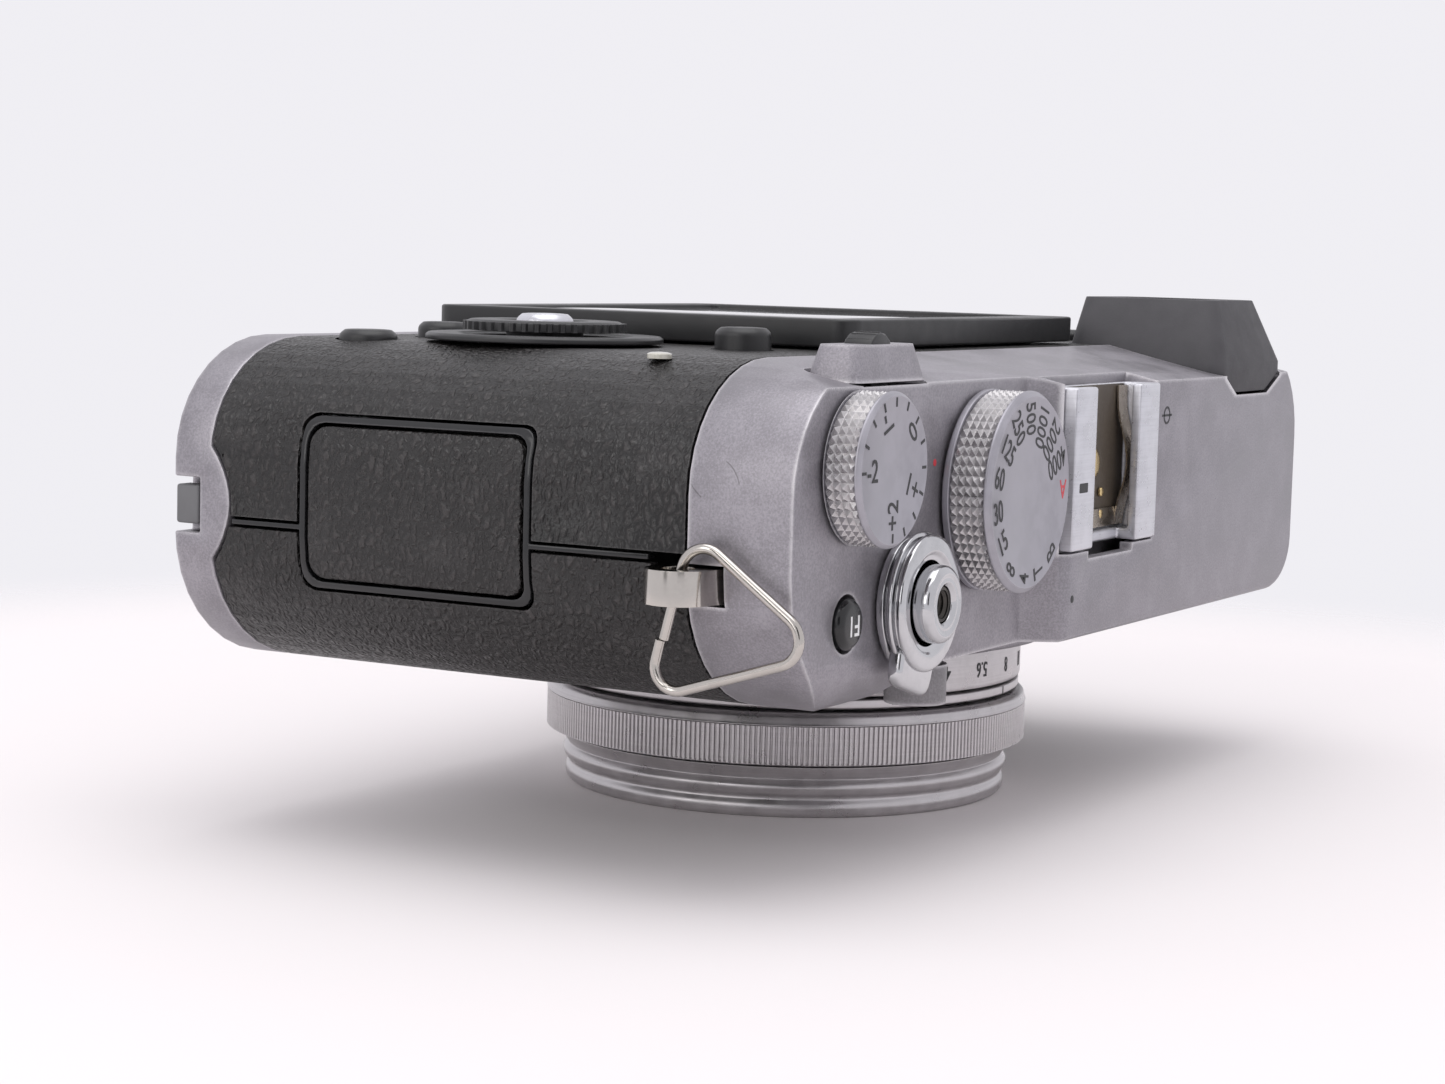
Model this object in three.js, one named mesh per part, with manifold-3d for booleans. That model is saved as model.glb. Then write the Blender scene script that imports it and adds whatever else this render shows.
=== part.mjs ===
// A fixed-lens compact camera with retro dials, lying face down on the front ring of its lens.
// Millimetres. +X points to the grip end, +Y to the top plate, +Z out of the camera's back.
// While it is modelled, the lens axis is x = y = 0 and the front ring stands on z = 0.
import * as THREE from "three";
import { mergeVertices } from "three/addons/utils/BufferGeometryUtils.js";
import Module from "manifold-3d";

const wasm = await Module();
wasm.setup();

// ---- Driving dimensions ----
const GAP = 0.3; // between pieces that touch or nearly touch
const RUN = 0.35; // round a piece that moves
const WALL = 1.4; // covers
const PLATE = 1.3; // doors and thin plates

const GRIP_END_X = 65.9;
const FAR_END_X = -60.6;
const BODY_FRONT_Z = 20.2; // front face round the lens
const GRIP_FRONT_Z = 17.0; // front of the grip swell
const BODY_REAR_Z = 49.9;
const BOTTOM_Y = -34.75;
const BOTTOM_TRIM_TOP_Y = -30.3; // where the leather begins
const TOP_TRIM_LOW_Y = 24.2; // where the leather ends
const LOWER_DECK_Y = 34.8;
const UPPER_DECK_Y = 38.9;
const DECK_STEP_X = [11.3, 15.2]; // the S step between the decks
const UPPER_DECK_REAR_Z = BODY_REAR_Z - 3.1;
const REAR_SLOPE_LOW_Y = 24.6;
const LOWER_EDGE = 1.6; // rounding of the lower deck's edge
const UPPER_EDGE = 0.7;
const GRIP_EDGE = { r: 5.5, from: 35 }; // the lower deck rolls over towards the front of the grip
const SWELL_X = [35, 46]; // where the grip swell rises

const SEAM_Z = 31.9; // front and rear covers meet here
const SEAM_WIDTH = 0.8;

const FOCUS_RING_R = 27.3;
const APERTURE_RING_R = 26.9;
const INDEX_RING_R = 26.3;
const LENS_BASE_R = 29.6;
const FRONT_RING_R = [24.8, 25.7]; // at the floor and at its root
const FRONT_RING_BORE_R = 22.6;
const FRONT_RING_TOP_Z = 5.6;
const FOCUS_RING_Z = [5.9, 11.6];
const INDEX_RING_Z = [11.9, 13.0];
const APERTURE_RING_Z = [13.3, 17.5];
const LENS_BASE_Z = [17.8, 19.9];
const LENS_SPIGOT = { r: 22.6, boreR: 12, top: 23.2 }; // holds the lens in the body
const BARREL_R = 19.0; // fixed barrel that the rings turn on

const ABOVE_DECK = LOWER_DECK_Y + GAP;
const EXPOSURE_DIAL = { x: 54.0, z: 40.26, r: 7.2, low: ABOVE_DECK, top: ABOVE_DECK + 3.85 };
const SPEED_DIAL = { x: 25.7, z: 36.71, r: 10.07, low: ABOVE_DECK, top: ABOVE_DECK + 5.24 };
const DIAL_STEM_R = 2.6;
const DIAL_STEM_LOW_Y = LOWER_DECK_Y - 4.3;
const DIAL_EDGE = 0.3;
const POWER = { x: 42.9, z: 27.0, r: 6.8, footR: 6.3, low: ABOVE_DECK, waist: ABOVE_DECK + 0.9 };
const POWER_TOP_Y = ABOVE_DECK + 2.9;
const POWER_TONGUE = { width: 7.0, beyond: 1.8, corner: 2.0, turnDeg: -17 };
const POWER_TONGUE_Y = [ABOVE_DECK + 0.8, ABOVE_DECK + 2.4];
const RELEASE = { r: 3.77, top: POWER_TOP_Y + 1.6, threadR: 1.8, threadDepth: 4, edge: 0.5 };
const RELEASE_LOW_Y = LOWER_DECK_Y - 3.8;
const FN_BUTTON = { x: 54.8, z: 25.9, r: 2.45, top: LOWER_DECK_Y + 0.9, crown: 0.7 };

const SHOE = { x: [-11.5, 12.2], z: [29.65, 46.63], top: UPPER_DECK_Y + 0.5 };
const SHOE_SLOT = { width: 18.7, height: 2.1 };
const SHOE_LIP = { thick: 1.2, gapWidth: 12.5 };
const SHOE_FLOOR = 0.7;
const SHOE_SILL = { deep: 1.2, rise: 0.9, relief: 0.8 }; // across the front of the slot
const SHOE_SPRING = { thick: 0.3, leaf: 2.6, bridge: 2.4 };
const SHOE_CONTACT = { r: 1.6, thick: 0.5 };

// The eyecup widens from its root in the deck to its waist and narrows towards the eye.
const EYECUP = [
  { x: [-50.2, -36.2], y: [20.6, UPPER_DECK_Y - 0.2], z: [BODY_REAR_Z - 5.1, BODY_REAR_Z - 4.9] },
  { x: [-54.8, -32.6], y: [18.7, UPPER_DECK_Y - 0.2], z: [BODY_REAR_Z - 3.1, BODY_REAR_Z - 1.7] },
  { x: [-51.8, -36.2], y: [19.4, UPPER_DECK_Y - 2.8], z: [BODY_REAR_Z + 5.3, BODY_REAR_Z + 5.6] },
];
const EYECUP_CORNER = 2.2;
const EYEPIECE = { x: -44.0, y: 27.8, window: [12.0, 9.5], corner: 1.2 };
const EYEPIECE_LENS_Z = [BODY_REAR_Z - 2.3, BODY_REAR_Z - 0.3];
const DIOPTER_WHEEL = { x: -57.6, y: [22.5, 26.5], z: BODY_REAR_Z - 3.5, r: 3.9 };
const FINDER_BLOCK = { x: [-52.5, -16], y: [25.5, 36.8], z: [24.5, 43] };
const FINDER_WINDOW = { x: [-53, -33], y: [25.6, 36.4] };
const FLASH_WINDOW = { x: [-21.5, -8.5], y: [26.4, 35.6] };
const FINDER_LEVER = { x: 31.8, y: 31.2, r: 3.1, stemR: 1.5, z: [15.6, 19.6] };
const FINDER_ARM = { width: 2.6, length: 9, drop: 0.6 };

const LCD = { x: [-32.2, 27.5], y: [-30.7, 20.7], border: 4.2, corner: 2.5 };
const LCD_Z = [BODY_REAR_Z + GAP, BODY_REAR_Z + 3.2];
const LCD_WINDOW = { corner: 1, below: 0.3, thick: 1.1, panelThick: 2.3 };
const TOGGLE = { x: 45.9, y: 31.7, width: 15.2, height: 5.8, corner: 1.6 };
const TOGGLE_Z = [BODY_REAR_Z - 2.0, BODY_REAR_Z + 1.5];
const TOGGLE_PADDLE = { width: 5.0, height: 3.0, stem: 3.8, swing: 0.95 };
const TOGGLE_PADDLE_Z = { low: BODY_REAR_Z - 2.7, head: BODY_REAR_Z + 0.4, top: BODY_REAR_Z + 2.6 };
const RING_DIAL = { x: 43.2, y: -6.0, plateR: 12.0, r: 8.3, okR: 2.9, stemR: 3.9 };
const RING_DIAL_Z = {
  plate: [BODY_REAR_Z + GAP, BODY_REAR_Z + 1.0],
  ring: [BODY_REAR_Z + 1.3, BODY_REAR_Z + 2.4],
  ok: BODY_REAR_Z + 3.1,
};
const REAR_BUTTONS = [
  { name: "display_button", x: 38.5, y: -21.6, r: 2.7, top: BODY_REAR_Z + 1.7 },
  { name: "quick_button", x: 51.0, y: -22.2, r: 3.0, top: BODY_REAR_Z + 1.0 },
  { name: "lock_button", x: 35.4, y: 12.6, r: 2.9, top: BODY_REAR_Z + 2.3 },
];
const LEFT_BUTTONS = { x: -47.5, y: 13, pitch: 10.5, count: 4, r: 2.8, top: BODY_REAR_Z + 1.3 };
const BUTTON_ROOT_Z = BODY_REAR_Z - 2.5;
const BUTTON_CROWN = 0.5;

const TERMINAL = { y: [-18.3, 6.2], z: [27.0, 41.8], rim: 1.0, corner: 1.6 };
const BATTERY_DOOR = { x: [31.5, 60.0], z: [24.5, 45.0], corner: 3 };
const LATCH = { x: [51.5, 57.0], z: [32.0, 37.5], travel: 2.2, depth: 0.7 };
const COUPLER = { z: [31.3, 35.2], y: [-34.75, -31.9], depth: 2.4, slit: 0.8, sunk: 0.2 };
const BUMP = { z: 33.6, half: 5.6, rise: 2.4, reach: 4 };
const TRIPOD = { x: 16.5, z: 35, r: 5.0, boreR: 2.75, depth: 6.5 };

const LUG = { x: GRIP_END_X + 1.5, y: 24.2, z: [28.1, 31.3], r: 3.1, holeR: 1.55 };
const LUG_ROOT = { x: GRIP_END_X - 2.7, half: 3.5, shoulder: 1.8 };
const FAR_LUG_PROUD = 0.4; // the far end is flatter, so its lug stands prouder for the ring to swing
const RING_WIRE_R = 0.5;
// Rounded corners of the triangular strap ring, as y, z and bend radius in the ring's plane.
const RING_CORNERS = [
  { y: 26.9, z: 30.4, r: 2.4 },
  { y: 34.3, z: 25.2, r: 2.3 },
  { y: 24.2, z: 21.9, r: 2.2 },
];

// Pieces inside the body.
const SOCKET_BOARD = { x: [GRIP_END_X - 10.9, GRIP_END_X - 9.7], y: [-16, 4], z: [28.5, 41] };
const SOCKETS = [
  { y: [-13.5, -4.5], z: [33.0, 36.4] },
  { y: [-1.5, 3.5], z: [33.4, 36.0] },
];
const SOCKET = { end: GRIP_END_X - 3.7, mouth: GRIP_END_X - 7.9, wall: 0.6 };
const CHASSIS = { x: [-31, 29], y: [-27.6, 22.5], z: [32.6, 34.0], boreR: 10.5 };
const SENSOR = { x: [-13.5, 13.5], y: [-10, 10], z: [36, 38] };
const MAIN_BOARD = { x: [-40, 28], y: [-28, 20], z: [42, 43.6] };
const BATTERY = { x: [32.5, 53.5], y: [-31.5, 16], z: [26.5, 37.5] };
const MEMORY_CARD = { x: [30, 54], y: [-31.2, 0.8], z: [40, 42.1] };
const CAPACITOR = { x: -45, y: -24, z: 33, r: 4.6, length: 22 };
const LEAF_SHUTTER = { boreR: 7, r: 15, thick: 2.7 };
const FRONT_ELEMENT = { r: 10.2, z: [9.0, 10.4], bulge: 1.6 };
const REAR_ELEMENT = { r: 8.5, z: [28.2, 29.6], bulge: 0.9 };
const PANE = { below: 0.3, thick: 1.5, corner: 1.5 };

// ---- Finishes ----
const finish = (color, roughness, metalness) =>
  new THREE.MeshStandardMaterial({ color, roughness, metalness });
const SATIN_SILVER = finish(0x9a9a9e, 0.45, 0.6);
const BRIGHT_SILVER = finish(0xb9b9bc, 0.3, 0.9);
const CHROME = finish(0xd8d6d2, 0.08, 1);
const STEEL = finish(0xc9c4ba, 0.22, 1);
const LEATHERETTE = finish(0x1d1b1b, 0.6, 0);
const BLACK_PLASTIC = finish(0x141415, 0.35, 0);
const GREY_RUBBER = finish(0x37383b, 0.55, 0);
const GLASS = finish(0x20252c, 0.05, 0);
const CIRCUIT = finish(0x1d4a33, 0.5, 0);
const BRASS = finish(0xb89a4c, 0.3, 1);

// ---- Solids ----
const part = new THREE.Group();

// A closed geometry as a solid that can be joined and cut, with its faces out.
function solid(geometry) {
  const bare = geometry.clone();
  for (const name of Object.keys(bare.attributes)) {
    if (name !== "position") bare.deleteAttribute(name);
  }
  const merged = mergeVertices(bare, 1e-3);
  const triangles = [];
  const index = merged.index.array;
  for (let i = 0; i < index.length; i += 3) {
    const [a, b, c] = [index[i], index[i + 1], index[i + 2]];
    if (a !== b && b !== c && c !== a) triangles.push(a, b, c);
  }
  const build = (order) =>
    new wasm.Manifold(
      new wasm.Mesh({
        numProp: 3,
        vertProperties: merged.attributes.position.array,
        triVerts: new Uint32Array(order),
      }),
    );
  const made = build(triangles);
  return made.volume() < 0 ? build(triangles.reverse()) : made;
}

function addPart(name, shape, material) {
  const { vertProperties, triVerts } = shape.getMesh();
  const geometry = new THREE.BufferGeometry();
  geometry.setAttribute("position", new THREE.BufferAttribute(vertProperties, 3));
  geometry.setIndex(new THREE.BufferAttribute(triVerts, 1));
  const mesh = new THREE.Mesh(geometry, material);
  mesh.name = name;
  part.add(mesh);
}

const X = new THREE.Vector3(1, 0, 0);
const Y = new THREE.Vector3(0, 1, 0);
const Z = new THREE.Vector3(0, 0, 1);
const ALONG_X = new THREE.Matrix4().makeBasis(Y, Z, X);
const ALONG_Y = new THREE.Matrix4().makeBasis(Z, X, Y);
const ALONG_Z = new THREE.Matrix4();

function prism(points, from, to, basis) {
  const shape = new THREE.Shape(points.map(([u, v]) => new THREE.Vector2(u, v)));
  const geometry = new THREE.ExtrudeGeometry(shape, { depth: to - from, bevelEnabled: false });
  return solid(geometry.translate(0, 0, from).applyMatrix4(basis));
}
const prismX = (yz, from, to) => prism(yz, from, to, ALONG_X);
const prismY = (xz, from, to) => prism(xz.map(([x, z]) => [z, x]), from, to, ALONG_Y);
const prismZ = (xy, from, to) => prism(xy, from, to, ALONG_Z);

function box(x, y, z) {
  const geometry = new THREE.BoxGeometry(x[1] - x[0], y[1] - y[0], z[1] - z[0]);
  return solid(geometry.translate((x[0] + x[1]) / 2, (y[0] + y[1]) / 2, (z[0] + z[1]) / 2));
}

const blockOf = (size) => box(size.x, size.y, size.z);
const around = (middle, width) => [middle - width / 2, middle + width / 2];

// A turned piece on an axis along Y or Z; the profile lists radius and height.
function turned(profile, axis, centre, segments = 32) {
  const geometry = new THREE.LatheGeometry(
    profile.map(([radius, height]) => new THREE.Vector2(radius, height)),
    segments,
  );
  if (axis === "z") geometry.rotateX(Math.PI / 2);
  return solid(geometry.translate(...centre));
}
const turnedY = (profile, x, z, segments) => turned(profile, "y", [x, 0, z], segments);
const turnedZ = (profile, x, y, segments) => turned(profile, "z", [x, y, 0], segments);
const disc = (radius, low, high) => [[0, low], [radius, low], [radius, high], [0, high]];
const tube = (inner, outer, low, high) => [
  [inner, low],
  [outer, low],
  [outer, high],
  [inner, high],
  [inner, low],
];
const cylinderY = (x, z, r, low, high, segments) => turnedY(disc(r, low, high), x, z, segments);
const cylinderZ = (x, y, r, low, high, segments) => turnedZ(disc(r, low, high), x, y, segments);

// A button cap with a low dome, as a lathe profile.
function dome(radius, low, top, crown) {
  const points = [[0, low], [radius, low], [radius, top - crown]];
  const steps = 3;
  for (let i = 1; i <= steps; i += 1) {
    const turn = (i / steps) * (Math.PI / 2);
    points.push([radius * Math.cos(turn), top - crown + crown * Math.sin(turn)]);
  }
  points[points.length - 1][0] = 0;
  return points;
}

function arc(cu, cv, ru, rv, from, to, steps) {
  const points = [];
  for (let i = 0; i <= steps; i += 1) {
    const turn = THREE.MathUtils.degToRad(from + ((to - from) * i) / steps);
    points.push([cu + ru * Math.cos(turn), cv + rv * Math.sin(turn)]);
  }
  return points;
}

function roundedRect(u, v, corner, steps = 4) {
  return [
    ...arc(u[1] - corner, v[1] - corner, corner, corner, 0, 90, steps),
    ...arc(u[0] + corner, v[1] - corner, corner, corner, 90, 180, steps),
    ...arc(u[0] + corner, v[0] + corner, corner, corner, 180, 270, steps),
    ...arc(u[1] - corner, v[0] + corner, corner, corner, 270, 360, steps),
  ];
}
const grown = ([low, high], by) => [low - by, high + by];

// The body's outline seen from above the top plate, as x and z, moved inwards by inset.
const GRIP_REAR_CORNER = { rx: 14, rz: 12 };
const GRIP_FRONT_CORNER = { rx: 15.6, rz: 14 };
const FAR_FRONT_CORNER = { rx: 8, rz: 6 };
const FAR_REAR_CORNER = { rx: 12, rz: 11 };
function outline(inset) {
  const corner = (size, endX, faceZ, from) => {
    const x = endX - Math.sign(endX) * size.rx;
    const z = faceZ + (from < 180 ? -size.rz : size.rz);
    return arc(x, z, size.rx - inset, size.rz - inset, from, from + 90, 9);
  };
  const swell = [];
  const steps = 6;
  for (let i = 1; i < steps; i += 1) {
    const share = i / steps;
    const rise = (1 - Math.cos(Math.PI * share)) / 2;
    const z = THREE.MathUtils.lerp(BODY_FRONT_Z, GRIP_FRONT_Z, rise) + inset;
    swell.push([THREE.MathUtils.lerp(SWELL_X[0], SWELL_X[1], share), z]);
  }
  return [
    ...corner(GRIP_REAR_CORNER, GRIP_END_X, BODY_REAR_Z, 0),
    ...corner(FAR_REAR_CORNER, FAR_END_X, BODY_REAR_Z, 90),
    ...corner(FAR_FRONT_CORNER, FAR_END_X, BODY_FRONT_Z, 180),
    [SWELL_X[0], BODY_FRONT_Z + inset],
    ...swell,
    ...corner(GRIP_FRONT_CORNER, GRIP_END_X, GRIP_FRONT_Z, 270),
  ];
}
const slab = (inset, low, high) => prismY(outline(inset), low, high);

// A slab whose upper edge is rounded in a few steps of facets.
function roundedSlab(low, high, edge) {
  const steps = 3;
  let shape = slab(0, low, high - edge);
  const rings = [];
  for (let i = 0; i <= steps; i += 1) {
    const turn = (i / steps) * (Math.PI / 2);
    rings.push({ inset: edge * (1 - Math.cos(turn)), y: high - edge + edge * Math.sin(turn) });
  }
  for (let i = 0; i < steps; i += 1) {
    shape = shape.add(loft(rings[i], rings[i + 1]));
  }
  return shape;
}

// The solid between two outlines at two heights.
function loft(lower, upper) {
  const rings = [outline(lower.inset), outline(upper.inset)];
  const count = rings[0].length;
  const heights = [lower.y, upper.y];
  const positions = [];
  const corner = (ring, i) => {
    const [x, z] = rings[ring][i % count];
    positions.push(x, heights[ring], z);
  };
  for (let i = 0; i < count; i += 1) {
    [[0, i], [0, i + 1], [1, i + 1], [0, i], [1, i + 1], [1, i]].forEach((c) => corner(...c));
  }
  const flat = rings[0].map(([x, z]) => new THREE.Vector2(x, z));
  for (const [a, b, c] of THREE.ShapeUtils.triangulateShape(flat, [])) {
    [[0, c], [0, b], [0, a], [1, a], [1, b], [1, c]].forEach((p) => corner(...p));
  }
  const geometry = new THREE.BufferGeometry();
  geometry.setAttribute("position", new THREE.Float32BufferAttribute(positions, 3));
  return solid(geometry);
}

// ---- Top cover: two decks with an S step, hollow below ----
const BEYOND = 90; // past the body on every side, for cutting blocks
function deckStep(inset) {
  const [high, low] = DECK_STEP_X;
  const points = [[-BEYOND, 0], [-BEYOND, UPPER_DECK_Y + 1 - inset]];
  const steps = 8;
  for (let i = 0; i <= steps; i += 1) {
    const rise = (1 + Math.cos((Math.PI * i) / steps)) / 2;
    const y = THREE.MathUtils.lerp(LOWER_DECK_Y, UPPER_DECK_Y, rise) - inset;
    points.push([THREE.MathUtils.lerp(high, low, i / steps) - inset, y]);
  }
  points.splice(2, 0, [high - inset, UPPER_DECK_Y + 1 - inset]);
  points.push([low, LOWER_DECK_Y - inset], [BEYOND, LOWER_DECK_Y - inset], [BEYOND, 0]);
  return prismZ(points, 0, BEYOND);
}

// What is cut away behind the decks: the top cover slopes from the back up to both of them.
function rearSlope(inset) {
  const z = BODY_REAR_Z - inset;
  const section = [
    [REAR_SLOPE_LOW_Y - inset, z],
    [UPPER_DECK_Y + 1, z],
    [UPPER_DECK_Y + 1, UPPER_DECK_REAR_Z - inset],
    [UPPER_DECK_Y, UPPER_DECK_REAR_Z - inset],
  ];
  return prismX(section, -BEYOND, BEYOND);
}

const shoeFloorY = SHOE.top - SHOE_LIP.thick - SHOE_SLOT.height - SHOE_FLOOR;
const shoeBaseTop = shoeFloorY + SHOE_FLOOR;
const shoeMiddleX = (SHOE.x[0] + SHOE.x[1]) / 2;

// What is cut away where the lower deck rolls over into the front of the grip.
function gripRoll(inset) {
  const y = LOWER_DECK_Y - GRIP_EDGE.r;
  const z = GRIP_FRONT_Z + GRIP_EDGE.r;
  const r = GRIP_EDGE.r - inset;
  const section = [...arc(y, z, r, r, -90, 0, 8), [BEYOND, z], [BEYOND, 0], [y, 0]];
  return prismX(section, GRIP_EDGE.from, BEYOND);
}

function topCover() {
  const lower = roundedSlab(TOP_TRIM_LOW_Y, LOWER_DECK_Y, LOWER_EDGE);
  const dialRoom = SPEED_DIAL.r + RUN * 2;
  const upper = roundedSlab(TOP_TRIM_LOW_Y, UPPER_DECK_Y, UPPER_EDGE)
    .intersect(deckStep(0))
    .subtract(cylinderY(SPEED_DIAL.x, SPEED_DIAL.z, dialRoom, LOWER_DECK_Y, BEYOND, 40));
  let shape = lower.add(upper).subtract(rearSlope(0)).subtract(gripRoll(0));
  const hollowLow = slab(WALL, TOP_TRIM_LOW_Y - 1, LOWER_DECK_Y - WALL);
  const hollowHigh = slab(WALL, TOP_TRIM_LOW_Y - 1, UPPER_DECK_Y - WALL).intersect(deckStep(WALL));
  const hollow = hollowLow.add(hollowHigh).subtract(rearSlope(WALL)).subtract(gripRoll(WALL));
  shape = shape.subtract(hollow);
  // A floor under the accessory shoe closes the pocket that is cut for it.
  const front = SHOE.z[0] - GAP;
  const pocketLow = shoeFloorY - GAP;
  const pocketFloor = box(
    grown(SHOE.x, GAP + WALL / 2),
    [pocketLow - WALL, pocketLow],
    [front - WALL, BODY_REAR_Z - WALL * 3],
  );
  const pocket = box(grown(SHOE.x, GAP), [pocketLow, BEYOND], [front, BEYOND]);
  const relief = box(
    around(shoeMiddleX, SHOE_LIP.gapWidth),
    [shoeBaseTop, BEYOND],
    [front - SHOE_SILL.relief, BEYOND],
  );
  shape = shape.add(pocketFloor).subtract(pocket).subtract(relief);
  const deckHole = (at, r) => cylinderY(at.x, at.z, r + RUN, TOP_TRIM_LOW_Y - 1, BEYOND, 28);
  for (const dial of [EXPOSURE_DIAL, SPEED_DIAL]) {
    shape = shape.subtract(deckHole(dial, DIAL_STEM_R));
  }
  shape = shape.subtract(deckHole(POWER, RELEASE.r)).subtract(deckHole(FN_BUTTON, FN_BUTTON.r));
  const behindFront = BODY_FRONT_Z + WALL * 4;
  for (const window of [FINDER_WINDOW, FLASH_WINDOW]) {
    const opening = roundedRect(grown(window.x, GAP), grown(window.y, GAP), PANE.corner);
    shape = shape.subtract(prismZ(opening, 0, behindFront));
  }
  const leverHole = FINDER_LEVER.stemR + RUN;
  shape = shape.subtract(cylinderZ(FINDER_LEVER.x, FINDER_LEVER.y, leverHole, 0, behindFront, 16));
  shape = shape.subtract(eyecup(GAP));
  shape = shape.subtract(diopterWheel(RUN));
  shape = shape.subtract(toggleBlock(GAP)).subtract(toggleSlot());
  for (const side of [1, -1]) shape = shape.subtract(lugRoot(side, GAP));
  return shape;
}

const eyecup = (grow) =>
  wasm.Manifold.hull(
    EYECUP.map(({ x, y, z }) => {
      const plan = roundedRect(grown(x, grow), grown(y, grow), EYECUP_CORNER + grow);
      return prismZ(plan, ...grown(z, grow));
    }),
  );
const diopterWheel = (grow) =>
  cylinderY(
    DIOPTER_WHEEL.x,
    DIOPTER_WHEEL.z,
    DIOPTER_WHEEL.r + grow,
    DIOPTER_WHEEL.y[0] - grow,
    DIOPTER_WHEEL.y[1] + grow,
    28,
  );
const toggleBlock = (grow) => {
  const x = around(TOGGLE.x, TOGGLE.width + grow * 2);
  const y = around(TOGGLE.y, TOGGLE.height + grow * 2);
  return prismZ(roundedRect(x, y, TOGGLE.corner), ...grown(TOGGLE_Z, grow));
};
const toggleSlot = () =>
  box(
    around(TOGGLE.x, TOGGLE_PADDLE.width + (TOGGLE_PADDLE.swing + GAP) * 2),
    around(TOGGLE.y, TOGGLE_PADDLE.height + RUN * 2),
    [TOGGLE_PADDLE_Z.low - WALL, BEYOND],
  );

// ---- Strap lugs and their triangular rings, a mirrored pair ----
const lugX = (side) => (side > 0 ? LUG.x : FAR_END_X - (LUG.x - GRIP_END_X) - FAR_LUG_PROUD);
const lugRootX = (side) => (side > 0 ? LUG_ROOT.x : FAR_END_X + (GRIP_END_X - LUG_ROOT.x));
function lugRoot(side, grow) {
  const xs = [lugRootX(side) - side * grow, lugX(side)].sort((a, b) => a - b);
  return box(xs, around(LUG.y, (LUG_ROOT.half + grow) * 2), grown(LUG.z, grow));
}
function lug(side) {
  const x = lugX(side);
  const root = lugRootX(side);
  const eye = arc(x, LUG.y, LUG.r, LUG.r, side > 0 ? -90 : 90, side > 0 ? 90 : 270, 10);
  const edge = side > 0 ? 1 : -1;
  const plan = [
    [root, LUG.y - edge * LUG_ROOT.half],
    [x - side * LUG_ROOT.shoulder, LUG.y - edge * LUG_ROOT.half],
    ...eye,
    [x - side * LUG_ROOT.shoulder, LUG.y + edge * LUG_ROOT.half],
    [root, LUG.y + edge * LUG_ROOT.half],
  ];
  return prismZ(plan, ...LUG.z).subtract(cylinderZ(x, LUG.y, LUG.holeR, 0, BEYOND, 16));
}

function strapRing(side) {
  const x = lugX(side);
  const bendPoint = (bend, turn) =>
    new THREE.Vector3(x, bend.y + bend.r * Math.cos(turn), bend.z + bend.r * Math.sin(turn));
  const count = RING_CORNERS.length;
  const points = [];
  for (let i = 0; i <= count; i += 1) {
    const here = RING_CORNERS[i % count];
    const before = RING_CORNERS[(i + count - 1) % count];
    const after = RING_CORNERS[(i + 1) % count];
    // The outward normals of the two sides that meet at this corner bound its bend.
    const inAngle = Math.atan2(here.z - before.z, here.y - before.y) + Math.PI / 2;
    const outAngle = Math.atan2(after.z - here.z, after.y - here.y) + Math.PI / 2;
    let sweep = outAngle - inAngle;
    while (sweep > 0) sweep -= 2 * Math.PI;
    const from = i === 0 ? 0.5 : 0;
    const to = i === count ? 0.3 : 1;
    for (let k = 0; k <= 4; k += 1) {
      const turn = inAngle + sweep * THREE.MathUtils.lerp(from, to, k / 4);
      points.push(bendPoint(here, turn));
    }
    if (i < count) {
      const start = points[points.length - 1];
      const end = bendPoint(after, outAngle);
      for (const share of [0.15, 0.5, 0.85]) points.push(start.clone().lerp(end, share));
    }
  }
  const section = new THREE.Shape(
    arc(0, 0, RING_WIRE_R, RING_WIRE_R, 0, 300, 5).map(([u, v]) => new THREE.Vector2(u, v)),
  );
  const route = new THREE.CatmullRomCurve3(points);
  const options = { steps: 44, extrudePath: route, bevelEnabled: false };
  return solid(new THREE.ExtrudeGeometry(section, options));
}

// ---- Bottom cover with the battery door, latch, tripod socket and coupler tab ----
const doorPlan = (grow) =>
  roundedRect(grown(BATTERY_DOOR.x, grow), grown(BATTERY_DOOR.z, grow), BATTERY_DOOR.corner + grow);

function bottomCover() {
  let shape = slab(0, BOTTOM_Y, BOTTOM_TRIM_TOP_Y);
  shape = shape.add(trimBump(0));
  shape = shape.subtract(slab(WALL, BOTTOM_Y + WALL, BOTTOM_TRIM_TOP_Y + BUMP.rise * 2));
  shape = shape.subtract(prismY(doorPlan(RUN), -BEYOND, BOTTOM_Y + WALL * 2));
  const socketHole = TRIPOD.r + GAP;
  shape = shape.subtract(cylinderY(TRIPOD.x, TRIPOD.z, socketHole, -BEYOND, BOTTOM_Y + WALL * 2));
  const notch = box(
    [GRIP_END_X - COUPLER.depth - GAP, GRIP_END_X + 1],
    [BOTTOM_Y - 1, COUPLER.y[1] + GAP],
    grown(COUPLER.z, COUPLER.slit),
  );
  return shape.subtract(notch);
}

function batteryDoor() {
  const latchPocket = box(
    [LATCH.x[0] - GAP, LATCH.x[1] + LATCH.travel + GAP],
    [BOTTOM_Y - 1, BOTTOM_Y + LATCH.depth + GAP],
    grown(LATCH.z, GAP),
  );
  return prismY(doorPlan(0), BOTTOM_Y, BOTTOM_Y + PLATE).subtract(latchPocket);
}

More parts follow.
